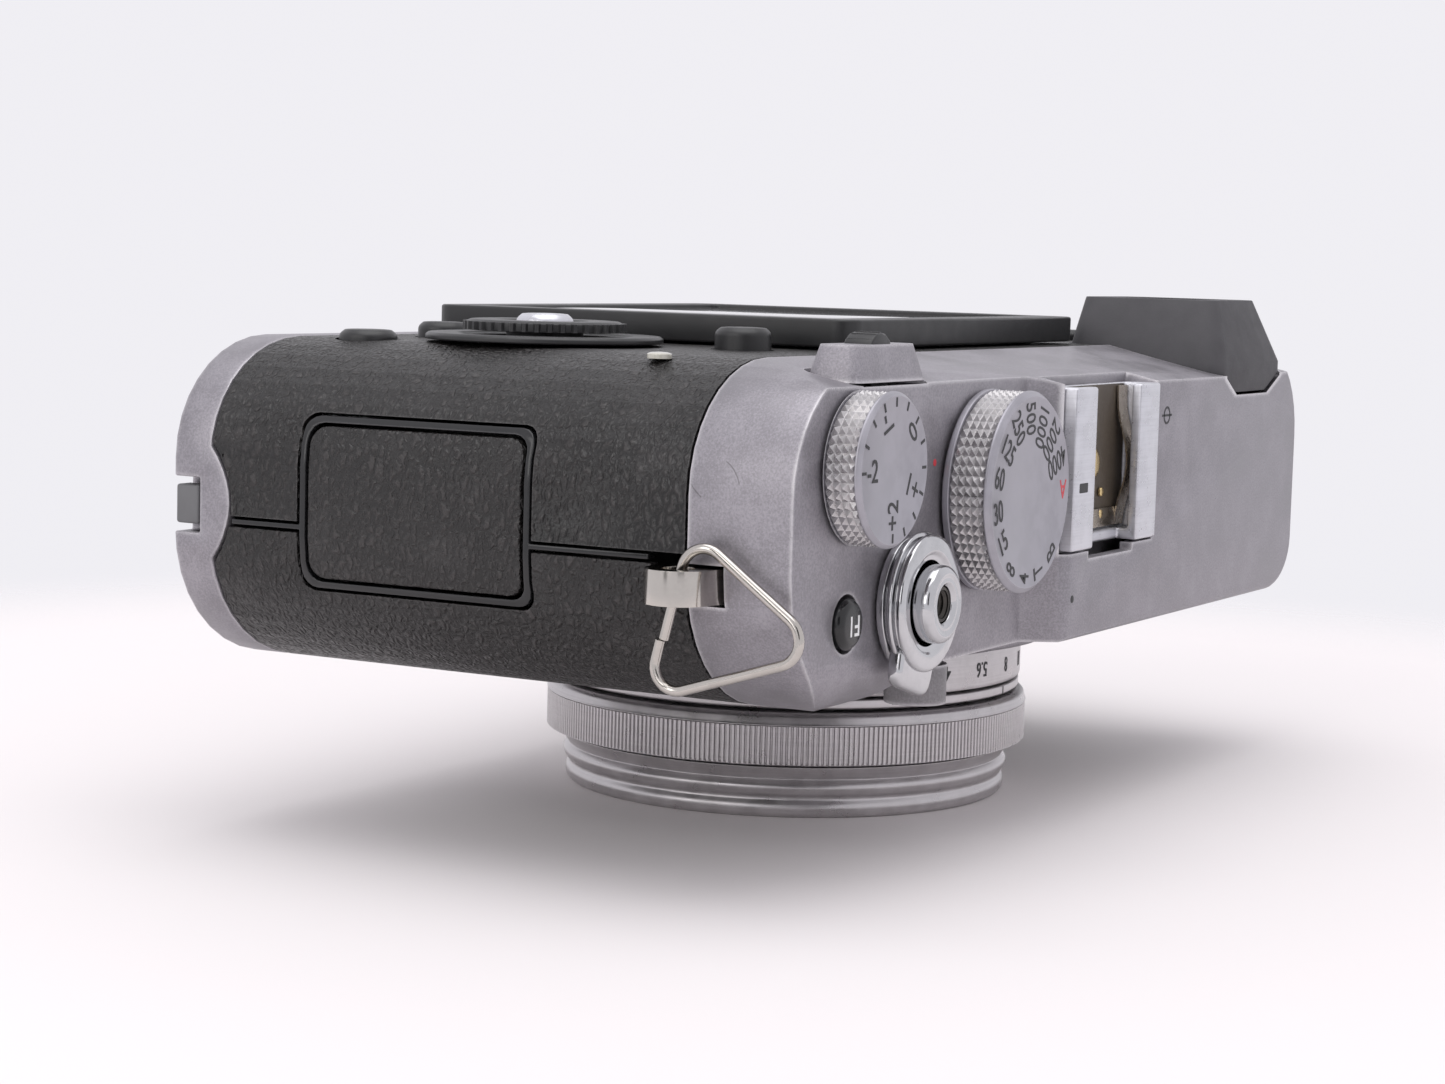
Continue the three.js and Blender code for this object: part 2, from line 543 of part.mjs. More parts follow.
// The bottom trim rises in a low bump at the grip end, over the coupler tab.
function trimBump(grow) {
  const points = [];
  const steps = 10;
  for (let i = 0; i <= steps; i += 1) {
    const share = (i / steps) * 2 - 1;
    const rise = BUMP.rise * Math.cos((share * Math.PI) / 2) ** 0.8;
    points.push([BOTTOM_TRIM_TOP_Y + rise + grow, BUMP.z - share * (BUMP.half + grow)]);
  }
  points.push([BOTTOM_TRIM_TOP_Y - 1, BUMP.z - BUMP.half - grow]);
  points.push([BOTTOM_TRIM_TOP_Y - 1, BUMP.z + BUMP.half + grow]);
  const wedge = prismX(points, GRIP_END_X - BUMP.reach, BEYOND);
  return slab(0, BOTTOM_Y, BOTTOM_TRIM_TOP_Y + BUMP.rise * 2).intersect(wedge);
}

// ---- Leather-covered front and rear covers with the seam strip and terminal door ----
const coverLow = BOTTOM_TRIM_TOP_Y + GAP;
const coverHigh = TOP_TRIM_LOW_Y - GAP;
const shellBand = (thickness, low, high) =>
  slab(0, low, high).subtract(slab(thickness, low - 1, high + 1));
const terminalOpening = (grow) => {
  const plan = roundedRect(grown(TERMINAL.y, grow), grown(TERMINAL.z, grow), TERMINAL.corner);
  return prismX(plan, GRIP_END_X - WALL * 3, BEYOND);
};

function coverHalf(front) {
  const seam = SEAM_WIDTH / 2 + GAP / 2;
  const zRange = front ? [0, SEAM_Z - seam] : [SEAM_Z + seam, BEYOND];
  const everywhere = [-BEYOND, BEYOND];
  let shape = shellBand(WALL, coverLow, coverHigh).intersect(box(everywhere, everywhere, zRange));
  shape = shape.subtract(trimBump(GAP));
  shape = shape.subtract(terminalOpening(TERMINAL.rim + GAP));
  for (const side of [1, -1]) shape = shape.subtract(lugRoot(side, GAP));
  if (front) {
    return shape.subtract(cylinderZ(0, 0, LENS_SPIGOT.r + GAP, 0, BODY_FRONT_Z + WALL * 2, 48));
  }
  const holes = [...REAR_BUTTONS, ...leftButtons(), { ...RING_DIAL, r: RING_DIAL.stemR }];
  const inside = BODY_REAR_Z - WALL * 2;
  for (const hole of holes) {
    shape = shape.subtract(cylinderZ(hole.x, hole.y, hole.r + RUN, inside, BEYOND, 20));
  }
  shape = shape.subtract(prismZ(lcdInner(0), inside, BEYOND));
  return shape.subtract(eyecup(GAP)).subtract(diopterWheel(RUN));
}

function terminalRim() {
  const shell = shellBand(PLATE, -BEYOND, BEYOND);
  const ring = shell.intersect(terminalOpening(TERMINAL.rim)).subtract(terminalOpening(RUN));
  // The glossy seam strip runs on from the rim to the bottom bump and to the top trim.
  const overlap = TERMINAL.rim / 2;
  const strip = (low, high) =>
    shell.intersect(
      box([GRIP_END_X - WALL * 4, BEYOND], [low, high], around(SEAM_Z, SEAM_WIDTH - GAP)),
    );
  const low = strip(BOTTOM_TRIM_TOP_Y + BUMP.rise + GAP, TERMINAL.y[0] - overlap);
  const high = strip(TERMINAL.y[1] + overlap, LUG.y - LUG_ROOT.half - GAP * 2);
  return ring.add(low).add(high);
}

function terminalSockets() {
  let shape = blockOf(SOCKET_BOARD);
  for (const { y, z } of SOCKETS) {
    const mouth = box([SOCKET.mouth, BEYOND], grown(y, -SOCKET.wall), grown(z, -SOCKET.wall));
    shape = shape.add(box([SOCKET_BOARD.x[0], SOCKET.end], y, z)).subtract(mouth);
  }
  return shape;
}

// ---- Rear controls ----
function leftButtons() {
  const buttons = [];
  for (let i = 0; i < LEFT_BUTTONS.count; i += 1) {
    buttons.push({
      name: `left_button_${i + 1}`,
      x: LEFT_BUTTONS.x,
      y: LEFT_BUTTONS.y - i * LEFT_BUTTONS.pitch,
      r: LEFT_BUTTONS.r,
      top: LEFT_BUTTONS.top,
    });
  }
  return buttons;
}

// ---- Dials and buttons on the deck ----
function stemmedDial(dial) {
  const profile = [
    [0, DIAL_STEM_LOW_Y],
    [DIAL_STEM_R, DIAL_STEM_LOW_Y],
    [DIAL_STEM_R, dial.low],
    [dial.r, dial.low],
    [dial.r, dial.top - DIAL_EDGE],
    [dial.r - DIAL_EDGE, dial.top],
    [0, dial.top],
  ];
  return turnedY(profile, dial.x, dial.z, 40);
}

function powerLever() {
  const bore = RELEASE.r + RUN;
  const edge = RELEASE.edge;
  const profile = [
    [bore, POWER.low],
    [POWER.footR, POWER.low],
    [POWER.footR, POWER.waist],
    [POWER.r, POWER.waist + edge],
    [POWER.r, POWER_TOP_Y - edge],
    [POWER.r - edge, POWER_TOP_Y],
    [bore, POWER_TOP_Y],
    [bore, POWER.low],
  ];
  const inner = -bore - GAP;
  const plan = roundedRect(
    around(0, POWER_TONGUE.width),
    [-(POWER.r + POWER_TONGUE.beyond), inner],
    POWER_TONGUE.corner,
  );
  const turn = THREE.MathUtils.degToRad(POWER_TONGUE.turnDeg);
  const turnedPlan = plan.map(([x, z]) => [
    POWER.x + x * Math.cos(turn) + z * Math.sin(turn),
    POWER.z - x * Math.sin(turn) + z * Math.cos(turn),
  ]);
  const tongue = prismY(turnedPlan, ...POWER_TONGUE_Y);
  return turnedY(profile, POWER.x, POWER.z, 36).add(tongue);
}

function shutterButton() {
  const profile = [
    [0, RELEASE_LOW_Y],
    [RELEASE.r, RELEASE_LOW_Y],
    [RELEASE.r, RELEASE.top - RELEASE.edge],
    [RELEASE.r - RELEASE.edge, RELEASE.top],
    [RELEASE.threadR, RELEASE.top],
    [RELEASE.threadR, RELEASE.top - RELEASE.threadDepth],
    [0, RELEASE.top - RELEASE.threadDepth],
  ];
  return turnedY(profile, POWER.x, POWER.z, 24);
}

// ---- Accessory shoe ----
function hotShoe() {
  const across = (width) => around(shoeMiddleX, width);
  const rear = [SHOE.z[0] + SHOE_SILL.deep, BEYOND];
  const sillTop = shoeBaseTop + SHOE_SILL.rise;
  const slot = box(across(SHOE_SLOT.width), [shoeBaseTop, shoeBaseTop + SHOE_SLOT.height], rear);
  const mouth = box(across(SHOE_LIP.gapWidth), [shoeBaseTop, BEYOND], rear);
  const overSill = box(across(SHOE_LIP.gapWidth), [sillTop, BEYOND], [0, BEYOND]);
  const block = box(SHOE.x, [shoeFloorY, SHOE.top], SHOE.z);
  return block.subtract(slot).subtract(mouth).subtract(overSill);
}

// A sprung leaf on each side of the slot, joined across the front.
function shoeSpring() {
  const width = SHOE_SLOT.width - GAP * 2;
  const inner = width - SHOE_SPRING.leaf * 2;
  const low = shoeBaseTop + GAP;
  const front = SHOE.z[0] + SHOE_SILL.deep + GAP;
  const sheet = box(
    around(shoeMiddleX, width),
    [low, low + SHOE_SPRING.thick],
    [front, SHOE.z[1] - GAP],
  );
  const between = [front + SHOE_SPRING.bridge, BEYOND];
  return sheet.subtract(box(around(shoeMiddleX, inner), [0, BEYOND], between));
}

// ---- Lens, from the front ring up to the body ----
function frontRing() {
  const profile = [
    [FRONT_RING_BORE_R, 0],
    [FRONT_RING_R[0], 0],
    [FRONT_RING_R[0], 1.0],
    [FRONT_RING_R[0] - 0.4, 1.4],
    [FRONT_RING_R[0] + 0.3, 2.2],
    [FRONT_RING_R[1], FRONT_RING_TOP_Z],
    [BARREL_R + GAP, FRONT_RING_TOP_Z],
    [BARREL_R + GAP, 3.2],
    [FRONT_RING_BORE_R - 1, 1.2],
    [FRONT_RING_BORE_R, 0],
  ];
  return turnedZ(profile, 0, 0, 56);
}

function focusRing() {
  const bore = BARREL_R + RUN;
  const [low, high] = FOCUS_RING_Z;
  const profile = [
    [bore, low],
    [FOCUS_RING_R - 0.3, low],
    [FOCUS_RING_R, low + 0.3],
    [FOCUS_RING_R, low + 4.25],
    [INDEX_RING_R, high],
    [bore, high],
    [bore, low],
  ];
  return turnedZ(profile, 0, 0, 56);
}

function lensBarrel() {
  const profile = [
    [17.6, 1.6],
    [BARREL_R, 1.6],
    [BARREL_R, LENS_BASE_Z[0] - GAP],
    [FRONT_ELEMENT.r + GAP, LENS_BASE_Z[0] - GAP],
    [FRONT_ELEMENT.r + GAP, 6.2],
    [17.6, 2.4],
    [17.6, 1.6],
  ];
  return turnedZ(profile, 0, 0, 48);
}

function lensBase() {
  const profile = [
    [LENS_SPIGOT.boreR, LENS_BASE_Z[0]],
    [LENS_BASE_R, LENS_BASE_Z[0]],
    [LENS_BASE_R, LENS_BASE_Z[1]],
    [LENS_SPIGOT.r, LENS_BASE_Z[1]],
    [LENS_SPIGOT.r, LENS_SPIGOT.top],
    [LENS_SPIGOT.boreR, LENS_SPIGOT.top],
    [LENS_SPIGOT.boreR, LENS_BASE_Z[0]],
  ];
  return turnedZ(profile, 0, 0, 56);
}

// A biconvex glass between two heights at its rim, bulging by the given depth.
function glass({ r, z: [low, high], bulge }) {
  const profile = [[0, low - bulge]];
  const steps = 3;
  for (let i = 1; i <= steps; i += 1) {
    profile.push([(r * i) / steps, low - bulge * (1 - (i / steps) ** 2)]);
  }
  for (let i = steps; i >= 0; i -= 1) {
    profile.push([(r * i) / steps, high + bulge * (1 - (i / steps) ** 2)]);
  }
  return turnedZ(profile, 0, 0, 24);
}

function finderLever() {
  const { x, y, r, z, stemR } = FINDER_LEVER;
  const hub = cylinderZ(x, y, r, z[0], z[1], 28);
  const stem = cylinderZ(x, y, stemR, z[0], BODY_FRONT_Z + WALL * 3, 16);
  const { width, length, drop } = FINDER_ARM;
  const plan = roundedRect(around(x, width), [y - length, y], width / 2 - 0.05);
  return hub.add(stem).add(prismZ(plan, z[0] + drop, z[1]));
}

// ---- Rear panel pieces ----
function lcdInner(by) {
  const inset = -LCD.border - by;
  return roundedRect(grown(LCD.x, inset), grown(LCD.y, inset), LCD_WINDOW.corner);
}
function lcdFrame() {
  const outer = prismZ(roundedRect(LCD.x, LCD.y, LCD.corner), ...LCD_Z);
  return outer.subtract(prismZ(lcdInner(0), 0, BEYOND));
}

const toggleHousing = () => toggleBlock(0).subtract(toggleSlot());
function commandToggle() {
  const { width, height, stem } = TOGGLE_PADDLE;
  const { low, head, top } = TOGGLE_PADDLE_Z;
  const y = around(TOGGLE.y, height);
  const profile = arc(TOGGLE.x, head, width / 2, top - head, 0, 180, 8);
  return box(around(TOGGLE.x, stem), y, [low, head + GAP]).add(prismY(profile, ...y));
}

const eyepieceOpening = (by) =>
  roundedRect(
    around(EYEPIECE.x, EYEPIECE.window[0] - by * 2),
    around(EYEPIECE.y, EYEPIECE.window[1] - by * 2),
    EYEPIECE.corner,
  );
const eyepieceFrame = () =>
  eyecup(0).subtract(prismZ(eyepieceOpening(0), 0, BEYOND)).subtract(diopterWheel(RUN));

// A flat pane under a window or a screen.
const pane = (plan, top, thick) => prismZ(plan, top - thick, top);

// ---- Build ----
addPart("top_cover", topCover(), SATIN_SILVER);
addPart("bottom_cover", bottomCover(), SATIN_SILVER);
addPart("front_cover", coverHalf(true), LEATHERETTE);
addPart("rear_cover", coverHalf(false), LEATHERETTE);
addPart("terminal_rim", terminalRim(), BLACK_PLASTIC);
const doorShell = shellBand(PLATE, -BEYOND, BEYOND);
addPart("terminal_door", doorShell.intersect(terminalOpening(0)), LEATHERETTE);
addPart("terminal_sockets", terminalSockets(), STEEL);

addPart("battery_door", batteryDoor(), SATIN_SILVER);
const latch = box(LATCH.x, [BOTTOM_Y, BOTTOM_Y + LATCH.depth], LATCH.z);
addPart("battery_latch", latch, BLACK_PLASTIC);
const tabRoom = box([GRIP_END_X - COUPLER.depth, BEYOND], COUPLER.y, COUPLER.z);
addPart("coupler_tab", slab(COUPLER.sunk, ...COUPLER.y).intersect(tabRoom), GREY_RUBBER);
const socket = tube(TRIPOD.boreR, TRIPOD.r, BOTTOM_Y, BOTTOM_Y + TRIPOD.depth);
addPart("tripod_socket", turnedY(socket, TRIPOD.x, TRIPOD.z, 32), STEEL);

addPart("lug_right", lug(1), STEEL);
addPart("lug_left", lug(-1), STEEL);
addPart("strap_ring_right", strapRing(1), STEEL);
addPart("strap_ring_left", strapRing(-1), STEEL);

addPart("exposure_dial", stemmedDial(EXPOSURE_DIAL), BRIGHT_SILVER);
addPart("shutter_speed_dial", stemmedDial(SPEED_DIAL), BRIGHT_SILVER);
addPart("power_lever", powerLever(), CHROME);
addPart("shutter_button", shutterButton(), CHROME);
const fnCap = dome(FN_BUTTON.r, LOWER_DECK_Y - WALL * 2, FN_BUTTON.top, FN_BUTTON.crown);
addPart("fn_button", turnedY(fnCap, FN_BUTTON.x, FN_BUTTON.z, 24), BLACK_PLASTIC);

addPart("hot_shoe", hotShoe(), BRIGHT_SILVER);
addPart("hot_shoe_spring", shoeSpring(), STEEL);
const contactLow = shoeBaseTop + GAP;
const contact = disc(SHOE_CONTACT.r, contactLow, contactLow + SHOE_CONTACT.thick);
const shoeMiddleZ = (SHOE.z[0] + SHOE.z[1]) / 2;
addPart("hot_shoe_contact", turnedY(contact, shoeMiddleX, shoeMiddleZ, 20), BRASS);

addPart("front_ring", frontRing(), BRIGHT_SILVER);
addPart("focus_ring", focusRing(), BRIGHT_SILVER);
const indexTube = tube(BARREL_R + GAP, INDEX_RING_R, ...INDEX_RING_Z);
addPart("index_ring", turnedZ(indexTube, 0, 0, 56), BRIGHT_SILVER);
const apertureTube = tube(BARREL_R + RUN, APERTURE_RING_R, ...APERTURE_RING_Z);
addPart("aperture_ring", turnedZ(apertureTube, 0, 0, 56), BRIGHT_SILVER);
addPart("lens_barrel", lensBarrel(), BLACK_PLASTIC);
addPart("lens_base", lensBase(), SATIN_SILVER);
addPart("front_element", glass(FRONT_ELEMENT), GLASS);
const shutterLow = LENS_SPIGOT.top + GAP;
const shutterTube = tube(LEAF_SHUTTER.boreR, LEAF_SHUTTER.r, shutterLow, shutterLow + LEAF_SHUTTER.thick);
addPart("leaf_shutter", turnedZ(shutterTube, 0, 0, 32), BLACK_PLASTIC);
addPart("rear_element", glass(REAR_ELEMENT), GLASS);

addPart("finder_lever", finderLever(), BRIGHT_SILVER);
const paneZ = BODY_FRONT_Z + PANE.below + PANE.thick;
for (const [name, opening] of [["finder_window", FINDER_WINDOW], ["flash_window", FLASH_WINDOW]]) {
  addPart(name, pane(roundedRect(opening.x, opening.y, PANE.corner), paneZ, PANE.thick), GLASS);
}

addPart("lcd_frame", lcdFrame(), BLACK_PLASTIC);
const lcdTop = LCD_Z[1] - LCD_WINDOW.below;
addPart("lcd_window", pane(lcdInner(GAP), lcdTop, LCD_WINDOW.thick), GLASS);
const lcdPanelTop = lcdTop - LCD_WINDOW.thick - GAP;
addPart("lcd_panel", pane(lcdInner(GAP), lcdPanelTop, LCD_WINDOW.panelThick), BLACK_PLASTIC);
const dialPlate = tube(RING_DIAL.stemR + RUN, RING_DIAL.plateR, ...RING_DIAL_Z.plate);
addPart("ring_dial_plate", turnedZ(dialPlate, RING_DIAL.x, RING_DIAL.y, 48), BLACK_PLASTIC);
const ringDialProfile = [
  [RING_DIAL.okR + RUN, BUTTON_ROOT_Z],
  [RING_DIAL.stemR, BUTTON_ROOT_Z],
  [RING_DIAL.stemR, RING_DIAL_Z.ring[0]],
  [RING_DIAL.r, RING_DIAL_Z.ring[0]],
  [RING_DIAL.r, RING_DIAL_Z.ring[1]],
  [RING_DIAL.okR + RUN, RING_DIAL_Z.ring[1]],
  [RING_DIAL.okR + RUN, BUTTON_ROOT_Z],
];
addPart("ring_dial", turnedZ(ringDialProfile, RING_DIAL.x, RING_DIAL.y, 40), BLACK_PLASTIC);
const okCap = dome(RING_DIAL.okR, BUTTON_ROOT_Z, RING_DIAL_Z.ok, BUTTON_CROWN);
addPart("ok_button", turnedZ(okCap, RING_DIAL.x, RING_DIAL.y, 24), BLACK_PLASTIC);
for (const button of [...REAR_BUTTONS, ...leftButtons()]) {
  const cap = dome(button.r, BUTTON_ROOT_Z, button.top, BUTTON_CROWN);
  addPart(button.name, turnedZ(cap, button.x, button.y, 18), BLACK_PLASTIC);
}
addPart("toggle_housing", toggleHousing(), SATIN_SILVER);
addPart("command_toggle", commandToggle(), BLACK_PLASTIC);
addPart("eyepiece_frame", eyepieceFrame(), GREY_RUBBER);
addPart("eyepiece_lens", prismZ(eyepieceOpening(GAP), ...EYEPIECE_LENS_Z), GLASS);
addPart("diopter_wheel", diopterWheel(0), BLACK_PLASTIC);

// ---- Inside the body ----
const chassisZ = grown(CHASSIS.z, 1);
const chassisBore = cylinderZ(0, 0, CHASSIS.boreR, ...chassisZ, 32);
addPart("chassis", blockOf(CHASSIS).subtract(chassisBore), STEEL);
addPart("image_sensor", blockOf(SENSOR), GLASS);
addPart("main_board", blockOf(MAIN_BOARD), CIRCUIT);
addPart("battery", blockOf(BATTERY), BLACK_PLASTIC);
addPart("memory_card", blockOf(MEMORY_CARD), BLACK_PLASTIC);
addPart("finder_block", blockOf(FINDER_BLOCK), BLACK_PLASTIC);
const can = new THREE.CylinderGeometry(CAPACITOR.r, CAPACITOR.r, CAPACITOR.length, 24);
can.rotateZ(Math.PI / 2).translate(CAPACITOR.x, CAPACITOR.y, CAPACITOR.z);
addPart("flash_capacitor", solid(can), BLACK_PLASTIC);

// The origin moves to the middle of the footprint, on the surface that the front ring stands on.
const reach = new THREE.Box3().setFromObject(part);
const middle = reach.getCenter(new THREE.Vector3());
part.position.set(-middle.x, -middle.y, -reach.min.z);

export default part;
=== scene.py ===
# %% [markdown]
# # A compact camera with retro dials, resting on its lens
# The camera lies face down on the front ring of its lens, with its top plate turned to the viewer.
# The CAD model already holds every piece at its true size and place, so only looks are added here:
# the plain solids are traded for finer pieces, and each piece gets a finish that is made of nodes.
# Everything is modelled in millimetres and shrunk to metres when it is put in its place.

# %% Load the frame
from math import cos, pi, radians, sin

import bpy
from mathutils import Matrix, Vector


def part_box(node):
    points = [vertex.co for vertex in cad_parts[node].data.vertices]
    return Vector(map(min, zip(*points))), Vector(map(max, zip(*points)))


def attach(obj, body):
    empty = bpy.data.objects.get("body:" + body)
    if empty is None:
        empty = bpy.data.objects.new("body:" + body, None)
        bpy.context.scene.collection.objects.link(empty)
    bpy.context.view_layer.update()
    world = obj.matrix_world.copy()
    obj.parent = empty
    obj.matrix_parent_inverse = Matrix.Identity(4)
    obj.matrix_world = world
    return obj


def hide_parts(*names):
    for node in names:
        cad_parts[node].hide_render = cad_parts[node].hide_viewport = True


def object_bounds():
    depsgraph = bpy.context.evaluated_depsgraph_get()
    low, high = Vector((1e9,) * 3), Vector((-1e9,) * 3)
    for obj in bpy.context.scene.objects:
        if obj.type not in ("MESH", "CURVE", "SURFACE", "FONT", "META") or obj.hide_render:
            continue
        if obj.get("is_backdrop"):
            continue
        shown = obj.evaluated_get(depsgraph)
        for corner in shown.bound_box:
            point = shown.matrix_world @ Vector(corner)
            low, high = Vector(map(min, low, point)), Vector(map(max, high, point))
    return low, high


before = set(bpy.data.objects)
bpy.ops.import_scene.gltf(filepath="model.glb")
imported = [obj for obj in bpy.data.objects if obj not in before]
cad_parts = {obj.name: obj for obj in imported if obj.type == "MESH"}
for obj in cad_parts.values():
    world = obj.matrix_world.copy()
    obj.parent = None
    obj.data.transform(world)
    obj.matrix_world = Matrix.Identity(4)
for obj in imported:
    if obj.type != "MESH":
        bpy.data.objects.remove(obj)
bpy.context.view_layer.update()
MM = 0.001


def span(node):
    """The lowest and highest corner of a CAD node, in millimetres."""
    low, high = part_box(node)
    return low / MM, high / MM


def middle(node):
    low, high = span(node)
    return (low + high) / 2


LENS = middle("front_ring")
print("the lens axis is at", [round(v, 2) for v in LENS])

# %% [markdown]
# ## Camera
# The view is from above the grip end, a little higher than the camera lies. The place to look at is
# counted from the lens axis, so it moves with the model. The view leans by a degree and a half, and
# a lens of 73 mm gives it a mild perspective.

# %% Camera
LOOK_AT = Vector((LENS.x + 49.17, LENS.y + 18.51, 31.93))
VIEW = {"azimuth": 119.057, "elevation": 5.593, "roll": 1.554, "distance": 282.757}
FOCAL_LENGTH = 73.46


def direction(azimuth, elevation):
    """The unit vector towards a viewer; azimuth 0 stands on the -Y side and 90 on the +X side."""
    a, e = radians(azimuth), radians(elevation)
    return Vector((sin(a) * cos(e), -cos(a) * cos(e), sin(e)))


back = direction(VIEW["azimuth"], VIEW["elevation"])
bpy.ops.object.camera_add(location=(LOOK_AT + back * VIEW["distance"]) * MM)
camera = bpy.context.object
camera.data.lens = FOCAL_LENGTH
camera.data.sensor_width = 36
camera.data.clip_start = 0.01
camera.data.clip_end = 20
upright = (-back).to_track_quat("-Z", "Y").to_matrix().to_4x4()
rolled = upright @ Matrix.Rotation(radians(VIEW["roll"]), 4, "Z")
camera.rotation_euler = rolled.to_euler()
bpy.context.scene.camera = camera
print("the viewer stands", VIEW["distance"], "mm away")

# %% [markdown]
# ## Shader toolkit
# A finish is written as Python sums. The class Wire holds one output of a node, and its operators
# add Math nodes. The class Finish holds one material: one method adds any node, and a few short
# methods name the patterns that are used again and again.


# %% Shader toolkit
class Wire:
    """A node's output that can be used in sums."""

    def __init__(self, finish, socket):
        self.finish = finish
        self.socket = socket

    def math(self, operation, *values, clamp=False):
        return self.finish.math(operation, *values, clamp=clamp)

    def __add__(self, other):
        return self.math("ADD", self, other)

    def __sub__(self, other):
        return self.math("SUBTRACT", self, other)

    def __mul__(self, other):
        return self.math("MULTIPLY", self, other)

    def __rsub__(self, other):
        return self.math("SUBTRACT", other, self)

    def __abs__(self):
        return self.math("ABSOLUTE", self)

    __radd__ = __add__
    __rmul__ = __mul__


class Finish:
    """One material, built from nodes."""

    def __init__(self, name):
        self.material = bpy.data.materials.new(name)
        self.material.use_nodes = True
        self.tree = self.material.node_tree
        self.tree.nodes.clear()

    def plug(self, socket, value):
        if isinstance(value, Wire):
            self.tree.links.new(value.socket, socket)
        else:
            socket.default_value = value

    def add(self, kind, settings, values, output=0):
        """A node of any kind, with its settings, and a value or wire for each socket."""
        node = self.tree.nodes.new(kind)
        for name, setting in settings.items():
            setattr(node, name, setting)
        for name, value in values.items():
            self.plug(node.inputs[name], value)
        return Wire(self, node.outputs[output])

    def math(self, operation, *values, clamp=False):
        settings = {"operation": operation, "use_clamp": clamp}
        return self.add("ShaderNodeMath", settings, dict(enumerate(values)))

    def vector(self, operation, *values, output=0):
        settings = {"operation": operation}
        return self.add("ShaderNodeVectorMath", settings, dict(enumerate(values)), output)

    def place(self, stretch=(1, 1, 1)):
        """Where a point of the surface is, in millimetres, with each axis stretched."""
        here = self.add("ShaderNodeTexCoord", {}, {}, "Object")
        return self.vector("MULTIPLY", here, [share / MM for share in stretch])

    def noise(self, grain, detail=3, rough=0.5, stretch=(1, 1, 1)):
        """A cloudy pattern whose patches are about grain millimetres wide."""
        values = {"Vector": self.place(stretch), "Scale": 1 / grain, "Detail": detail,
                  "Roughness": rough}
        return self.add("ShaderNodeTexNoise", {}, values)

    def cells(self, size, feature="F1", vector=None):
        """Distances in a pattern of irregular cells."""
        values = {"Vector": vector or self.place(), "Scale": 1 / size}
        return self.add("ShaderNodeTexVoronoi", {"feature": feature}, values)

    def fade(self, value, low, high, start=0.0, end=1.0):
        """Runs from start to end while the value runs from low to high."""
        values = {"Value": value, "From Min": low, "From Max": high, "To Min": start,
                  "To Max": end}
        return self.add("ShaderNodeMapRange", {"interpolation_type": "SMOOTHSTEP"}, values)

    def blend(self, share, first, second):
        """One colour turning into another; a colour is a wire or three numbers."""
        colours = [c if isinstance(c, Wire) else (*c, 1) for c in (first, second)]
        values = {0: share, 6: colours[0], 7: colours[1]}
        return self.add("ShaderNodeMix", {"data_type": "RGBA"}, values, 2)

    def worn(self, radius, low=0.04, high=0.3):
        """1 at sharp edges and 0 on flat faces, broken up as wear is."""
        bent = self.add("ShaderNodeBevel", {"samples": 6}, {"Radius": radius * MM})
        flat = self.add("ShaderNodeNewGeometry", {}, {}, "Normal")
        edge = 1 - self.vector("DOT_PRODUCT", bent, flat, output="Value")
        return self.fade(edge + self.noise(0.9, 4, 0.7) * 0.12 - 0.06, low, high)

    def bump(self, height, depth, strength=1.0):
        """The normal of a surface whose height runs over depth millimetres."""
        return self.add("ShaderNodeBump", {},
                        {"Height": height, "Distance": depth * MM, "Strength": strength})

    def surface(self, **values):
        """The main shader; Base_Color stands for the socket Base Color."""
        named = {name.replace("_", " "): value for name, value in values.items()}
        for name in ("Base Color", "Emission Color", "Specular Tint"):
            if name in named and not isinstance(named[name], Wire):
                named[name] = (*named[name], 1)
        shader = self.add("ShaderNodeBsdfPrincipled", {}, named)
        self.plug(self.tree.nodes.new("ShaderNodeOutputMaterial").inputs["Surface"], shader)
        return self.material


# %% [markdown]
# ## Metal finishes
# The covers are magnesium with a satin silver paint. Fine dust and handling mottle the paint, it
# carries dark specks and a few scratches, and its edges are worn to a lighter tone. A Bevel node
# finds the edges: it rounds the normal near them, and where that differs from the true one is
# wear. The dials and lens rings are anodised aluminium, the collar is chrome, the lugs are steel.


# %% Satin paint
def satin_paint(name, tone=(0.30, 0.285, 0.31), mottle=1.0, scratched=False):
    f = Finish(name)
    dust = f.noise(0.22, 5, 0.75)
    patch = f.noise(5.0, 4, 0.6)
    dark = [c * 0.8 for c in tone]
    light = [min(1, c * 1.2) for c in tone]
    colour = f.blend(f.fade(dust + patch * 0.6, 0.62, 1.02), dark, light)
    speck = f.fade(f.cells(2.6), 0.035, 0.02) * f.fade(f.noise(6, 2), 0.5, 0.6)
    colour = f.blend(speck * 0.75, colour, (0.05, 0.045, 0.05))
    if scratched:
        for centre, reach, at, length in SCRATCHES:
            line = abs(f.vector("DISTANCE", f.place(), centre, output="Value") - reach)
            near = f.vector("DISTANCE", f.place(), at, output="Value")
            mark = f.fade(line, 0.09, 0.03) * f.fade(near, length, length * 0.8)
            colour = f.blend(mark * 0.55, colour, (0.09, 0.085, 0.09))
    edge = f.worn(0.9, 0.02, 0.2)
    colour = f.blend(edge * 0.8, colour, (0.72, 0.7, 0.72))
    return f.surface(
        Base_Color=colour,
        Metallic=0.55,
        Roughness=f.fade(patch + dust * 0.5, 0.4, 1.0, 0.34, 0.5) - edge * 0.12,
        Normal=f.bump(dust * mottle + f.noise(0.09, 2) * 0.5, 0.02, 0.6),
    )


